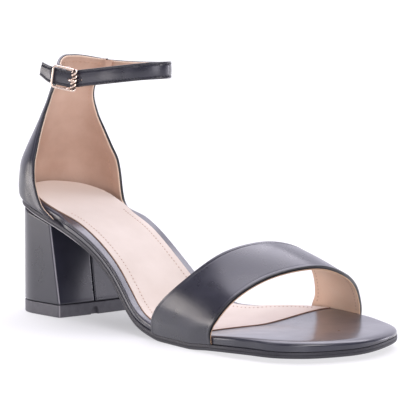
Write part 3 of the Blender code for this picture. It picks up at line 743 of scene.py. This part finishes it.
# D plan as a closed loop: superellipse back, straight sides, rounded corners, breast crowded to its middle
def heelLoop(back, front, half, roundness):
    middle = back + heel["widest"] * (front - back)
    turn = np.linspace(0, math.pi / 2, 200)
    rear = np.stack([middle - (middle - back) * np.cos(turn) ** (2 / roundness),
                     half * np.sin(turn) ** (2 / roundness)], axis=1)
    r = heel["corner"]
    side = np.vstack([rear, [(front - r, half)]])
    bend = np.linspace(0, math.pi / 2, 9)[1:]
    corner = np.stack([front - r + r * np.sin(bend), half - r + r * np.cos(bend)], axis=1)
    spread = np.linspace(1, 0, 56)[1:]
    y = (half - r) * np.sinh(4 * spread) / np.sinh(4)
    breast = np.stack([front + heel["bow"] * (1 - (y / (half - r)) ** 2), y], axis=1)
    line = np.vstack([alongLine(side, np.linspace(0, 1, 71)), corner, breast])
    return np.vstack([line * (1, -1), line[-2:0:-1]])


# size of the D moved in all round
def drawnIn(size, inward):
    return size + np.array((inward, -inward, -inward, 0.0))


# distance of a loop's points from the middle of its two breast corners
def fromCorner(loop, size):
    bend = heel["corner"] * (1 - math.sqrt(0.5))
    corner = np.array((size[1] - bend, size[2] - bend))
    return np.linalg.norm(np.abs(loop * (0, 1)) + loop * (1, 0) - corner, axis=1)


# grids of a block: its stacked loops, each end closed with shrinking copies of its loop
def blockGrids(rows, rims):
    rows = np.array(rows)
    share = np.array([0, 0.3, 0.6, 0.85, 1.0])[:, None, None]
    grids = [(rows, False, True, np.array(rims))]
    for loop in rows[[0, -1]]:
        cap = loop[None] * (1 - share) + loop.mean(axis=0) * share
        grids.append((cap, False, True, np.full(cap.shape[:2], shoe["noRim"])))
    return grids


# heel block: the foot's D blended to the seat's D under the outsole, a seam groove down the breast
def buildHeel():
    low = heel["lift"] + shoe["gap"]
    foot = np.array(heel["foot"])
    seat = np.array(heel["seat"])
    seatLoop = heelLoop(*seat)
    top = readAcross(sole["line"], seatLoop[:, 0], seatLoop[:, 1]) - shoe["gap"] * 1.1
    deep, wide = heel["seam"]
    ease = np.array([(0.0, 0.45), (0.1, 0.2), (0.3, 0.05), (0.55, 0.0)])
    sections = [(z, 0.0, inward) for z, inward in ease]
    sections += [(0.0, part, 0.0) for part in np.linspace(0.03, 0.97, 26)]
    sections += [(-z, 1.0, inward) for z, inward in ease[::-1]]
    rows = []
    rims = []
    for dz, part, inward in sections:
        size = drawnIn(foot + (seat - foot) * part, inward)
        loop = heelLoop(*size)
        onBreast = softStep(size[1] - 0.6, size[1] - 0.2, loop[:, 0])
        seamAt = heel["seamAt"] * (size[2] - heel["corner"]) / (foot[2] - heel["corner"])
        loop[:, 0] -= deep * np.exp(-((loop[:, 1] - seamAt) / wide) ** 2) * onBreast
        rows.append(np.column_stack([loop, low + (top - low) * part + dz]))
        rims.append(fromCorner(loop, size))
    makePiece("heel_cover", blockGrids(rows, rims), heelCalf, "heel_block", heel["crease"])


# top piece: the foot's D as a slab with eased edges and a small mould notch at the breast
def buildTip():
    size = np.array(heel["foot"])
    wide, high, deep = heel["notch"]
    tall = heel["lift"]
    section = [(0.5, 0.0), (0.3, 0.05), (0.12, 0.2), (0.02, 0.45)]
    section += [(0.0, z) for z in np.linspace(0.8, tall - 0.5, 22)]
    section += [(0.02, tall - 0.3), (0.12, tall - 0.12), (0.3, tall - 0.03), (0.5, tall)]
    rows = []
    rims = []
    for inward, z in section:
        loop = heelLoop(*drawnIn(size, inward))
        aside = np.abs(loop[:, 1] - heel["seamAt"])
        arch = high * np.sqrt(np.clip(1 - (aside / wide) ** 4, 0, 1))  # a flat arch over the notch
        inNotch = (aside < wide) & (z < arch) & (loop[:, 0] > size[1] - 3)
        loop[:, 0] -= np.where(inNotch, deep, 0.0)
        rims.append(fromCorner(loop, size))
        rows.append(np.column_stack([loop, np.full(len(loop), z)]))
    makePiece("heel_tip", blockGrids(rows, rims), tipRubber, "heel_top_piece", heel["crease"])


buildHeel()
buildTip()
print("heel made")


# counter

counter = {
    "footFront": 48.0,
    "footIn": 0.2,
    "reach": (30.0, 72.0),  # about half way round and up, to space the points near the edges
    "near": (0, 0.03, 0.1, 0.22, 0.4, 0.65, 1.0, 1.4, 1.8, 2.1, 2.3, 2.5, 2.8, 3.3),
    "wall": 1.8,
    "leather": 1.15,  # black outer, the rest is lining
    "fold": (2.3, 0.16, 0.28, 0.12),  # line beside the folded edge: distance, depth, width; rise of the fold
    "turn": (4.5, 0.7),  # width and depth of the leather's turn inwards at the outer front edge
    "liningIn": 0.18,
    "stitchIn": 3.0,
    "stitch": (1.9, 1.2, 0.16),
    "facing": (0.3, 0.8, 1.5, 2.3, 3.2),  # steps of the ear's facing in front of the edge
    "facingThick": 0.3,
    "levels": np.array([
        # z at back, back x, back depth, half widths, front x, front drops; pairs are outer, inner
        (61.0, 6.9, 25.0, 25.9, 25.9, 40.4, 41.2, 8.0, 8.0),
        (66.0, 6.8, 25.0, 26.1, 26.1, 35.8, 38.8, 3.0, 3.0),
        (72.0, 7.2, 25.0, 25.2, 25.0, 34.2, 38.0, 0.0, 0.0),
        (80.0, 10.2, 23.0, 22.7, 22.3, 33.2, 36.0, 0.0, 0.0),
        (88.0, 14.6, 20.5, 20.1, 19.4, 32.2, 34.2, 0.0, 0.0),
        (96.0, 19.2, 17.0, 17.6, 16.6, 31.8, 32.8, 0.0, 0.0),
        (104.0, 22.8, 14.8, 15.2, 14.4, 32.4, 33.0, 0.0, 0.0),
        (110.0, 25.2, 13.6, 13.8, 13.6, 34.8, 35.0, 0.0, 0.0),
        (115.0, 27.0, 13.2, 13.6, 13.6, 39.4, 40.2, 1.0, 0.4),
        (120.0, 28.8, 13.0, 13.8, 13.8, 41.0, 42.6, 2.6, 1.0),
        (125.0, 30.8, 12.4, 13.8, 13.8, 41.6, 43.6, 5.0, 2.2)]),
}


# outer face of the counter: u from -1 at the outer front over 0 at the back to 1 inside, v from foot to top;
# each level is a half ellipse with straight or cut arms, joined to the next by a monotone curve
def counterPatch(us, vs):
    share = np.abs(us)
    outer = (us < 0)[:, None]
    feet = []
    for side, sign in bothSides:
        line = movedIn(side, sign, counter["footIn"])
        line[0, 1] = 0.0
        feet.append(alongLine(line[line[:, 0] <= counter["footFront"]], share))
    levels = [onSole(np.where(outer, *feet), sole["sheet"] + shoe["gap"])]
    turn = np.linspace(0, math.pi / 2, 300)
    for z, back, depth, *ends, dropOuter, dropInner in counter["levels"]:
        arms = []
        for half, front in (ends[::2], ends[1::2]):
            arm = np.stack([back + depth - depth * np.cos(turn), half * np.sin(turn)], axis=1)
            if front > back + depth:
                arm = np.vstack([arm, (front, half)])
            else:
                y = half * math.sqrt(1 - ((back + depth - front) / depth) ** 2)
                arm = np.vstack([arm[arm[:, 0] < front], (front, y)])
            arms.append(alongLine(arm, share))
        row = np.where(outer, arms[0] * (1, -1), arms[1])
        drop = np.where(us < 0, dropOuter, dropInner) * softStep(0.1, 1.0, share)
        levels.append(np.column_stack([row, z - drop]))
    levels = np.array(levels)
    return monotone(np.arange(len(levels), dtype=float), levels, vs * (len(levels) - 1))


# the patch, its normals, and the distances from the top edge and from the nearer front edge
def counterGrid(us, vs):
    patch = counterPatch(us, vs)
    up = runLength(patch, 0)
    return patch, -gridNormals(patch), up[-1] - up, nearerEdge(patch)


# fold line along an edge: a fine groove at its distance, and the leather a little raised outside it
def foldRelief(edge, fold):
    at, deep, wide, rise = fold
    return -deep * np.exp(-((edge - at) / wide) ** 2) + rise * (1 - softStep(at - 0.2, at + 0.4, edge))


# counter: black outer wall with a fold line along its free edges, a nude lining with its rows of stitches,
# and a facing that runs down from the inner ear on to the strap in a 3/2 power slope
def buildCounter():
    halfRound, tall = counter["reach"]
    half = crowded(halfRound, counter["near"], 60, start=False)
    us = np.concatenate([-half[::-1], half[1:]])
    vs = crowded(tall, counter["near"], 90, start=False)
    patch, normal, fromTop, fromFront = counterGrid(us, vs)
    edge = np.minimum(fromTop, fromFront)
    wide, low = counter["turn"]
    relief = foldRelief(edge, counter["fold"]) - low * np.clip(1 - fromFront / wide, 0, 1) ** 2 * (us < 0)
    split = -counter["leather"]
    grids = wall(patch, normal, edge, relief, split, 0.45, ends=(0,))
    makePiece("counter_leather_wall", grids, blackCalf, "counter")

    half = half[half <= 1 - counter["liningIn"] / halfRound]
    us = np.concatenate([-half[::-1], half[1:]])
    vs = vs[vs <= 1 - counter["liningIn"] / tall]
    patch, normal, fromTop, fromFront = counterGrid(us, vs)
    grids = wall(patch, normal, np.minimum(fromTop, fromFront), split, -counter["wall"], 0.3, ends=(0,))
    makePiece("counter_lining", grids, nudeLining)

    ahead = np.array(counter["facing"])
    bind = counterPatch(np.linspace(0.9, 1.0, 8), np.linspace(0.745, 0.985, 40))
    run = unit(bind[:, -1] - bind[:, -2])
    bind = np.concatenate([bind, bind[:, -1:] + run[:, None] * ahead[None, :, None]], axis=1)
    slope = np.concatenate([np.zeros(8), ahead / ahead[-1]])[None, :]
    under = -(counter["wall"] + 0.06) * (1 - 0.95 * slope ** 1.5)
    square = np.full(bind.shape[:2], 9.0)  # no edge of the facing is eased
    allRound = (0, -1, np.s_[:, 0], np.s_[:, -1])
    grids = wall(bind, -gridNormals(bind), square, under + counter["facingThick"], under, 0.3, allRound)
    makePiece("inner_ear_facing", grids, nudeLining)

    inward = counter["stitchIn"]
    inner = patch - normal * (counter["wall"] + 0.02)
    off = np.abs(fromFront[50] - inward)
    rows = []
    for column in (np.argmin(off), -1 - np.argmin(off[::-1])):
        rows.append((inner[14:-8, column], -normal[14:-8, column]))
    level = np.argmin(np.abs(fromTop[:, len(us) // 2] - inward))
    rows.append((inner[level, 8:-8], -normal[level, 8:-8]))
    stitches("counter_stitches", rows, counter["stitch"], nudeThread)


buildCounter()
print("counter made")


# toe strap

strap = {
    "arch": np.array([
        # rear x, y, z, front x, y, z: one row per station over the foot, outer to inner side
        (140.0, -37.0, 17.0, 180.6, -39.6, 14.6),
        (153.6, -33.4, 29.3, 186.4, -33.0, 25.0),
        (164.6, -20.0, 41.6, 190.8, -16.5, 33.0),
        (170.0, 1.0, 45.2, 197.2, 6.0, 36.3),
        (171.0, 20.5, 40.6, 196.6, 22.5, 32.0),
        (164.4, 36.0, 29.0, 191.0, 36.6, 24.6),
        (160.6, 41.4, 17.0, 187.6, 43.0, 16.6)]),
    "feet": ((129.8, 177.6), (158.4, 186.0)),  # rear and front x of the outer and the inner foot
    "footRise": (7.0, 8.5),  # each foot stands straight up to this height over the sole
    "outset": 0.9,
    "crown": 0.5,
    "crownFrom": np.array((175.0, 2.0, 4.0)),  # the crown swells away from this line under the arch
    "width": 30.0,  # about its width, to space the points near the edges
    "near": (0, 0.03, 0.1, 0.2, 0.35, 0.55, 0.85, 1.2, 1.55, 1.8, 2.0, 2.2, 2.5, 3.0),
    "steps": 170,
    "wall": 2.0,
    "leather": 1.1,
    "fold": (2.0, 0.14, 0.26, 0.1),
    "liningIn": (0.3, 0.15),  # bare leather beside the rear and the front edge
    "roll": (1.6, 0.4),  # width and extra thickness of the rolled front edge
    "tuck": (0.95, 8.0),  # how far the leather's foot is drawn in at the outsole, and over what height
    "stitchIn": 2.2,
    "stitch": (1.9, 1.2, 0.14),
}


# points of the plan's side at x, moved outward
def sideAt(side, sign, x):
    line = movedIn(side, sign, -strap["outset"])[:len(side) * 9 // 10]
    return np.stack([x, np.interp(x, line[:, 0], line[:, 1])], axis=-1)


# outer face of the strap: flowing curves over the foot through the stations, from rear edge to front edge
def strapPatch(ws):
    rear = strap["arch"][:, None, :3]
    front = strap["arch"][:, None, 3:]
    arch = rear + (front - rear) * ws[None, :, None]
    low = sole["sheet"] + shoe["gap"]
    feet = []
    for (start, stop), (side, sign) in zip(strap["feet"], bothSides):
        feet.append(sideAt(side, sign, start + (stop - start) * ws))
    outer, inner = strap["footRise"]
    stations = np.vstack([[onSole(feet[0], low), onSole(feet[0], outer)], arch,
                          [onSole(feet[1], inner), onSole(feet[1], low)]])
    grid = np.stack([flowing(stations[:, j], strap["steps"]) for j in range(len(ws))], axis=1)
    away = unit((grid - strap["crownFrom"]) * (0, 1, 1))
    lift = np.sin(np.linspace(0, math.pi, len(grid)))[:, None] * np.sin(math.pi * ws)[None, :]
    return grid + away * strap["crown"] * lift[:, :, None]


# toe strap: black wall with a fold line, a rolled front edge and tucked feet, and a pale stitched lining
def buildStrap():
    ws = crowded(strap["width"], strap["near"], 40)
    patch = strapPatch(ws)
    across = runLength(patch, 1)
    edge = nearerEdge(patch)
    tuck, tuckHigh = strap["tuck"]
    relief = foldRelief(edge, strap["fold"]) - tuck * (1 - softStep(0.0, tuckHigh, nearerEdge(patch, 0)))
    split = -strap["leather"]
    wide, more = strap["roll"]
    rolled = split - more * (1 - softStep(wide - 0.4, wide, across[:, -1:] - across))
    grids = wall(patch, gridNormals(patch), edge, relief, rolled, 0.4, ends=(0, -1))
    makePiece("toe_strap_leather", grids, blackCalf, "toe_strap")

    rear, front = np.array(strap["liningIn"]) / strap["width"]
    patch = strapPatch(rear + (1 - rear - front) * ws)
    normal = gridNormals(patch)
    grids = wall(patch, normal, nearerEdge(patch), split, -strap["wall"], 0.25, ends=(0, -1))
    makePiece("toe_strap_lining", grids, paleLining)
    inner = patch - normal * (strap["wall"] + 0.02)
    fromRear = runLength(patch, 1)[80]
    rows = []
    for distance in (fromRear, fromRear[-1] - fromRear):
        column = np.argmin(np.abs(distance - strap["stitchIn"]))
        rows.append((inner[8:-8, column], -normal[8:-8, column]))
    stitches("toe_strap_stitches", rows, strap["stitch"], nudeThread)


buildStrap()
print("toe strap made")


# ankle strap and buckle

ankle = {
    "width": 8.0,
    "thick": 1.6,
    "split": -0.25,  # depth at which the leather meets its lining
    "near": (0, 0.03, 0.1, 0.2, 0.35, 0.55, 0.8, 1.0, 1.15, 1.3, 1.5, 1.9),
    "steps": 330,
    "buckleAt": np.array((47.6, -15.7, 114.1)),
    "buckleAlong": np.array((0.949, 0.269, -0.165)),
    "atBuckle": (
        # along, out and up from the buckle's middle: the tail leans back in past the frame
        (-16.3, -2.2, 1.6), (-9, 0, 0.2), (-6, 0, 0), (0, 0, 0), (3.5, 0, 0.1), (6.5, 0, 0.9)),
    "tailTaper": (1.2, 9.0),  # the tail is this much narrower at its end, over this length
    "path": np.array([
        # x, y, z of the middle line in front of the buckle
        (58.6, -12.7, 114.5),
        (66.8, -10.6, 115.4),
        (79.5, -7.8, 116.8),
        (90.0, -4.0, 118.0),
        (97.2, 4.2, 118.7),
        (91.0, 12.2, 118.5),
        (79.0, 14.6, 118.0),
        (58.0, 15.9, 117.8),
        (43.0, 15.7, 118.2),
        (34.0, 15.2, 118.6)]),
    "holes": ((2.5, 0.0), (9.8, 0.9)),  # along and up the strap from the buckle's middle
    "holeRadius": 0.6,
    "liningIn": 0.35,
    "dome": (0.12, 4.0),  # rise of the band's middle, reached this far from its edge
    "groove": (0.22, 0.24),  # depth and width of the stitched line
    "stitchIn": 1.15,
    "stitch": (1.9, 1.25, 0.2),
}


# directions at the buckle: along the strap, out from the ankle, up the strap
def buckleAxes():
    along = unit(ankle["buckleAlong"])
    out = unit(np.array((along[1], -along[0], 0.0)))
    up = np.cross(out, along)
    return along, out, up if up[2] > 0 else -up


# points given along, out and up from the buckle's middle
def atBuckle(points):
    return ankle["buckleAt"] + np.asarray(points, float) @ np.array(buckleAxes())


# band on edge: the middle line carried up and down by half the width; with its normals, and its distances
# from the long edges and from any edge
def anklePatch(ws):
    path = flowing(np.vstack([atBuckle(ankle["atBuckle"]), ankle["path"]]), ankle["steps"])
    run = unit(np.gradient(path, axis=0))
    inward = unit(np.cross((0.0, 0.0, 1.0), run))
    up = np.cross(run, inward)
    fromTail = lengths(path)
    taper, reach = ankle["tailTaper"]
    width = ankle["width"] - taper * (1 - softStep(0.0, reach, fromTail))
    patch = path[:, None] + up[:, None] * ((ws - 0.5)[None, :] * width[:, None])[:, :, None]
    edge = nearerEdge(patch)
    ends = np.minimum(fromTail, fromTail[-1] - fromTail)[:, None]
    return patch, np.broadcast_to(-inward[:, None], patch.shape), edge, np.minimum(edge, ends)


# round holes through a piece, cut with the exact boolean and made part of its mesh
def pierce(piece, places, radius):
    turn = np.arange(24) * math.pi / 12
    along, out, up = buckleAxes()
    ring = np.outer(np.cos(turn), along) + np.outer(np.sin(turn), up)
    grids = []
    for place, above in places:
        inside, outside = atBuckle([(place, -3.0, above), (place, 3.0, above)])
        rows = [inside + 0 * ring, inside + radius * ring, outside + radius * ring, outside + 0 * ring]
        grids.append((np.stack(rows), False, True))
    punch = makePiece("punch", grids, blackThread)
    cut = piece.modifiers.new("holes", "BOOLEAN")
    cut.operation = "DIFFERENCE"
    cut.solver = "EXACT"
    cut.object = punch
    done = piece.evaluated_get(bpy.context.evaluated_depsgraph_get())
    mesh = bpy.data.meshes.new_from_object(done)
    piece.modifiers.remove(cut)
    piece.data = mesh
    bpy.data.objects.remove(punch)


# ankle strap: domed black band with stitched rims, nude lining on its inner face
def buildAnkleStrap():
    ws = crowded(ankle["width"], ankle["near"], 9)
    patch, normal, edge, rim = anklePatch(ws)
    stitchIn = ankle["stitchIn"]
    rise, reach = ankle["dome"]
    deep, wide = ankle["groove"]
    relief = rise * softStep(stitchIn, reach, edge) - deep * np.exp(-((edge - stitchIn) / wide) ** 2)
    half = ankle["thick"] / 2
    grids = wall(patch, normal, rim, half + relief, ankle["split"], 0.35)
    piece = makePiece("ankle_strap_leather", grids, blackCalf, "ankle_strap")
    pierce(piece, ankle["holes"], ankle["holeRadius"])

    inset = ankle["liningIn"] / ankle["width"]
    patch, normal, edge, rim = anklePatch(ws[(ws >= inset) & (ws <= 1 - inset)])
    grids = wall(patch, normal, rim, ankle["split"], -half, 0.25)
    piece = makePiece("ankle_strap_lining", grids, nudeLining)
    pierce(piece, ankle["holes"], ankle["holeRadius"])

    side = np.array((stitchIn, ankle["width"] - stitchIn)) / ankle["width"]
    patch, normal, edge, rim = anklePatch(side)
    rows = [(patch[4:-2, k] + normal[4:-2, k] * (half - 0.1), normal[4:-2, k]) for k in (0, 1)]
    stitches("ankle_strap_stitches", rows, ankle["stitch"], blackThread)


buckle = {
    "length": 14.0,
    "height": 11.2,
    "wire": 0.55,
    "corner": 1.8,
    "out": 1.75,
    "post": (1.3, 1.0),  # half width and half depth of the front bar the prong rests on
    "twist": (0.3, 2.0),  # how deep the front bar is twisted, and its pitch
    "barWire": 0.5,
    "barOut": -2.65,
    "barBend": 0.9,
    "play": 0.15,  # between the bar and what is looped round it
    "prongWire": 0.55,
    "prongRise": (
        # along and out: from the loop through the strap and over the front bar
        (1.3, -1.35), (2.1, -0.75), (2.6, 0.2), (3.0, 1.2), (3.7, 2.45),
        (4.8, 3.25), (5.9, 3.5), (6.9, 3.25), (7.6, 2.7)),
    "tabWidth": 6.4,
    "tabThick": 0.8,
    "tabOuter": ((-10.4, -4.2), (-8.0, -3.25), (-5.4, -2.4)),  # along and out, from the counter to the bar
    "tabInner": ((-5.2, -6.25), (-8.2, -7.8)),  # and back
    "tabArms": ((-0.5, -0.14), (0.14, 0.5)),  # two arms beside the prong's slot, in shares of the width
}


# wire along a path: rings of half width and half depth about each point, square to the path
def wireGrid(path, wide, deep, sides, closed):
    if closed:
        run = unit(np.roll(path, -1, axis=0) - np.roll(path, 1, axis=0))
    else:
        run = unit(np.gradient(path, axis=0))
    along, out, up = buckleAxes()
    aside = np.cross(run, out)
    flat = np.linalg.norm(aside, axis=1)[:, None] < 0.3
    aside = np.where(flat, unit(np.cross(run, up)), unit(aside))
    over = np.cross(aside, run)
    turn = np.arange(sides) * 2 * math.pi / sides
    wide = np.broadcast_to(wide, len(path))[:, None, None]
    deep = np.broadcast_to(deep, len(path))[:, None, None]
    rings = path[:, None] + aside[:, None] * wide * np.cos(turn)[None, :, None]
    return rings + over[:, None] * deep * np.sin(turn)[None, :, None]


# an open wire's grid, each end ring closed on its middle
def cappedWire(path, thick, sides):
    rings = wireGrid(path, thick, thick, sides, False)
    first = rings[:1].mean(axis=1, keepdims=True)
    last = rings[-1:].mean(axis=1, keepdims=True)
    return np.vstack([0 * rings[:1] + first, rings, 0 * rings[:1] + last]), False, True


# buckle: a rounded rectangle of wire with a twisted front bar, a centre bar on bent legs, and its prong
def buildBuckle():
    halfLong = buckle["length"] / 2 - buckle["wire"]
    halfTall = buckle["height"] / 2 - buckle["wire"]
    r = buckle["corner"]
    turn = np.radians(np.arange(0, 360, 9.0))
    corner = np.stack([np.sign(np.cos(turn + 1e-6)) * (halfLong - r) + r * np.cos(turn),
                       np.sign(np.sin(turn + 1e-6)) * (halfTall - r) + r * np.sin(turn)], axis=1)
    loop = alongLine(np.vstack([corner, corner[:1]]), np.linspace(0, 1, 401))[:-1]
    post = softStep(halfLong - 1.6, halfLong - 0.2, loop[:, 0])
    wide, deep = [buckle["wire"] + (size - buckle["wire"]) * post for size in buckle["post"]]
    path = atBuckle(np.column_stack([loop[:, 0], buckle["out"] + 0.25 * post, loop[:, 1]]))
    rings = wireGrid(path, wide, deep, 24, True)
    turn = np.arange(24)[None, :] * math.pi / 12
    depth, pitch = buckle["twist"]
    twisted = 1 + depth * post[:, None] * np.cos(2 * turn + loop[:, 1:] * 2 * math.pi / pitch)
    rings = path[:, None] + (rings - path[:, None]) * twisted[:, :, None]
    grids = [(rings, True, True, np.maximum(1 - twisted, 0) * buckle["post"][0])]
    bend = buckle["barBend"]
    angle = np.radians(np.arange(0, 91, 15.0))
    leg = np.column_stack([0 * angle, buckle["barOut"] + bend - bend * np.sin(angle),
                           halfTall - bend + bend * np.cos(angle)])
    leg = np.vstack([[(0, buckle["out"], halfTall), (0, buckle["out"] - 1.0, halfTall)], leg])
    bar = alongLine(np.vstack([leg, leg[::-1] * (1, 1, -1)]), np.linspace(0, 1, 61))
    grids.append(cappedWire(atBuckle(bar), buckle["barWire"], 12))
    makePiece("buckle_frame_wire", grids, roseGold, "buckle_frame")

    hook = buckle["barWire"] + buckle["play"] + buckle["prongWire"]
    angle = np.radians(np.arange(260, 89, -17.0))
    path = np.column_stack([hook * np.cos(angle), buckle["barOut"] + hook * np.sin(angle)])
    path = np.vstack([path, buckle["prongRise"]])
    path = atBuckle(flowing(np.column_stack([path, 0 * path[:, 0]]), 70))
    thin = buckle["prongWire"] * (1 - 0.35 * softStep(0.85, 1.0, np.linspace(0, 1, 71)))
    makePiece("buckle_prong_wire", [cappedWire(path, thin, 14)], roseGold, "buckle_prong")


# buckle tab: a strip folded round the bar in a half circle, slotted where the prong comes through
def buildTab():
    half = buckle["tabThick"] / 2
    reach = buckle["barWire"] + buckle["play"] + half
    bar = buckle["barOut"]
    angle = np.radians(np.arange(90, -91, -10.0))
    fold = np.column_stack([reach * np.cos(angle), bar + reach * np.sin(angle)])
    plan = np.vstack([buckle["tabOuter"], [(-2.2, bar + reach)], fold,
                      [(-2.2, bar - reach - 0.5)], buckle["tabInner"]])
    line = alongLine(plan, np.linspace(0, 1, 91))
    path = atBuckle(np.column_stack([line, 0 * line[:, 0]]))
    along, out, up = buckleAxes()
    away = unit(np.cross(unit(np.gradient(path, axis=0)), up))
    away = away * np.sign(np.sum(away[0] * out))
    grids = []
    for low, high in buckle["tabArms"]:
        patch = path[:, None] + up * (np.linspace(low, high, 9) * buckle["tabWidth"])[None, :, None]
        normal = np.broadcast_to(away[:, None], patch.shape)
        grids += wall(patch, normal, nearerEdge(patch), half, -half, 0.25, ends=(0, -1))
    makePiece("buckle_tab_leather", grids, blackCalf, "buckle_tab")


buildAnkleStrap()
buildBuckle()
buildTab()
print("ankle strap and buckle made")


# floor, light and camera

studio = {
    "cameraAt": (0.7498, -0.6559, 0.1540),
    "looksAlong": (-0.7449, 0.6600, -0.0978),
    "lens": 188.66,
    "floorRings": (0.0, 0.5, 2.0, 10.0, 80.0),
    "floorDown": 0.00005,  # just under the shoe
    "floorColour": "#88888a",
    "floorLight": "#fdfcff",
    # the floor glows, least under the arch, where the weak glow is a painted shadow: strength, metres from
    # and to
    "floorGlow": ((0.4, 0.0, 0.1), (0.74, 0.3, 1.2)),
    "floorFar": 1.0,
    "archAt": (-0.03, 0.0, 0.0),
    "sky": (0.18, 1.0, 0.3),  # all round, more behind the shoe, more overhead
    "skyColour": "#f3f0ff",
    "skyOverhead": (0.3, 1.0),  # height of the direction, from and to
    "skyBehind": (0.3, 0.85),  # how far the direction faces away from the camera, from and to
    "aim": (0.0, 0.0, 0.05),
    "softboxes": {
        # direction round and up in degrees, metres away, width and height in metres, radiance, colour
        "topBackSoftbox": (155.0, 65.0, 1.3, 1.25, 1.15, 2.8, "#f7f3ff"),
        "leftLowSoftbox": (-141.0, 10.0, 0.48, 0.26, 0.14, 4.0, "#fff6f0"),
        "leftFrontStrip": (-130.0, 4.0, 1.0, 0.2, 0.17, 4.6, "#f7f3ff"),
        "leftTopSoftbox": (-100.0, 34.0, 1.3, 0.5, 0.4, 2.6, "#fdf9f8"),
        "rightTopSoftbox": (92.0, 51.0, 1.3, 0.5, 0.36, 4.8, "#f7f3ff"),
        "frontSoftbox": (-41.0, 8.0, 1.7, 0.7, 0.5, 5.0, "#f9f5ff"),
        "rightFrontStrip": (42.0, 5.0, 1.2, 0.5, 0.2, 2.9, "#f7f3ff"),
        "rightStrip": (75.0, 4.0, 1.2, 0.35, 0.25, 7.0, "#f7f3ff"),
        "toeTopSoftbox": (-12.0, 52.0, 1.4, 0.8, 0.8, 4.9, "#fdf9f8"),
    },
}


# a wide flat disc under the shoe, so that no view reaches its edge; its glow grows away from the arch, so
# the weak glow there is a painted shadow
def buildFloor():
    turn = np.linspace(0, 2 * math.pi, 65)[:-1]
    radius = np.array(studio["floorRings"])[:, None]
    down = 0 * radius * turn - studio["floorDown"]
    verts = np.stack([radius * np.cos(turn), radius * np.sin(turn), down], axis=-1).reshape(-1, 3)
    quads = gridFaces(len(radius), len(turn), False, True)
    mesh = joinedMesh("pale_floor", verts, quads, np.zeros(len(verts)))
    floor = bpy.data.objects.new("pale_floor", mesh)
    bpy.context.scene.collection.objects.link(floor)
    paint, tree, shader, place = newFinish("mattWhiteSweep")
    (paintedShadowGlow, start, stop), (near, leave, reach) = studio["floorGlow"]
    away = addNode(tree, "ShaderNodeVectorMath", {"operation": "DISTANCE"}, {
        0: place, 1: Vector(studio["archAt"])})
    # painted shadow: the glow is weakest near the arch and grows outwards
    close = remap(tree, (away, "Value"), start, stop, paintedShadowGlow, near)
    feed(tree, shader, {
        "Base Color": linearHex(studio["floorColour"]), "Roughness": 0.9,
        "Emission Color": linearHex(studio["floorLight"]),
        "Emission Strength": remap(tree, (away, "Value"), leave, reach, close, studio["floorFar"])})
    mesh.materials.append(paint)


# studio sky: even all round, brighter overhead and towards the white backdrop behind the shoe
def buildSky():
    world = bpy.data.worlds.new("softStudio")
    bpy.context.scene.world = world
    world.use_nodes = True
    tree = world.node_tree
    tree.nodes.clear()
    base, backdrop, zenith = studio["sky"]
    direction = (addNode(tree, "ShaderNodeTexCoord"), "Generated")
    split = addNode(tree, "ShaderNodeSeparateXYZ", {}, {"Vector": direction})
    overhead = remap(tree, (split, "Z"), *studio["skyOverhead"], base, base + zenith)
    away = Vector(studio["looksAlong"])
    away.z = 0.0
    facing = addNode(tree, "ShaderNodeVectorMath", {"operation": "DOT_PRODUCT"}, {
        0: direction, 1: away.normalized()})
    behind = remap(tree, (facing, "Value"), *studio["skyBehind"], 0.0, backdrop)
    total = addNode(tree, "ShaderNodeMath", {"operation": "ADD"}, {0: overhead, 1: behind})
    sky = addNode(tree, "ShaderNodeBackground", {}, {
        "Color": linearHex(studio["skyColour"]), "Strength": (total, "Value")})
    addNode(tree, "ShaderNodeOutputWorld", {}, {"Surface": (sky, 0)})


# an object in the scene, turned to look along a direction
def aimed(name, data, at, along):
    thing = bpy.data.objects.new(name, data)
    thing.location = at
    thing.rotation_euler = along.to_track_quat("-Z", "Y").to_euler()
    bpy.context.scene.collection.objects.link(thing)
    return thing


# softboxes: area lamps on their bearings, power pi times area times radiance, unseen by the camera
def buildSoftboxes():
    for name, (azimuth, height, far, wide, high, radiance, colour) in studio["softboxes"].items():
        lamp = bpy.data.lights.new(name, "AREA")
        lamp.shape = "RECTANGLE"
        lamp.size = wide
        lamp.size_y = high
        lamp.energy = math.pi * wide * high * radiance
        lamp.color = linearHex(colour)[:3]
        turn = math.radians(azimuth)
        lift = math.radians(height)
        out = math.cos(lift)
        at = far * Vector((out * math.cos(turn), out * math.sin(turn), math.sin(lift)))
        aimed(name, lamp, at, Vector(studio["aim"]) - at).visible_camera = False


# the camera fitted to the photo
def buildCamera():
    lens = bpy.data.cameras.new("photoView")
    lens.lens = studio["lens"]
    lens.sensor_width = 36.0
    lens.clip_start = 0.01
    lens.clip_end = 200.0
    bpy.context.scene.camera = aimed("photoView", lens, studio["cameraAt"], Vector(studio["looksAlong"]))


buildFloor()
buildSky()
buildSoftboxes()
buildCamera()
bpy.context.scene.view_settings.view_transform = "Standard"
print("stage made")
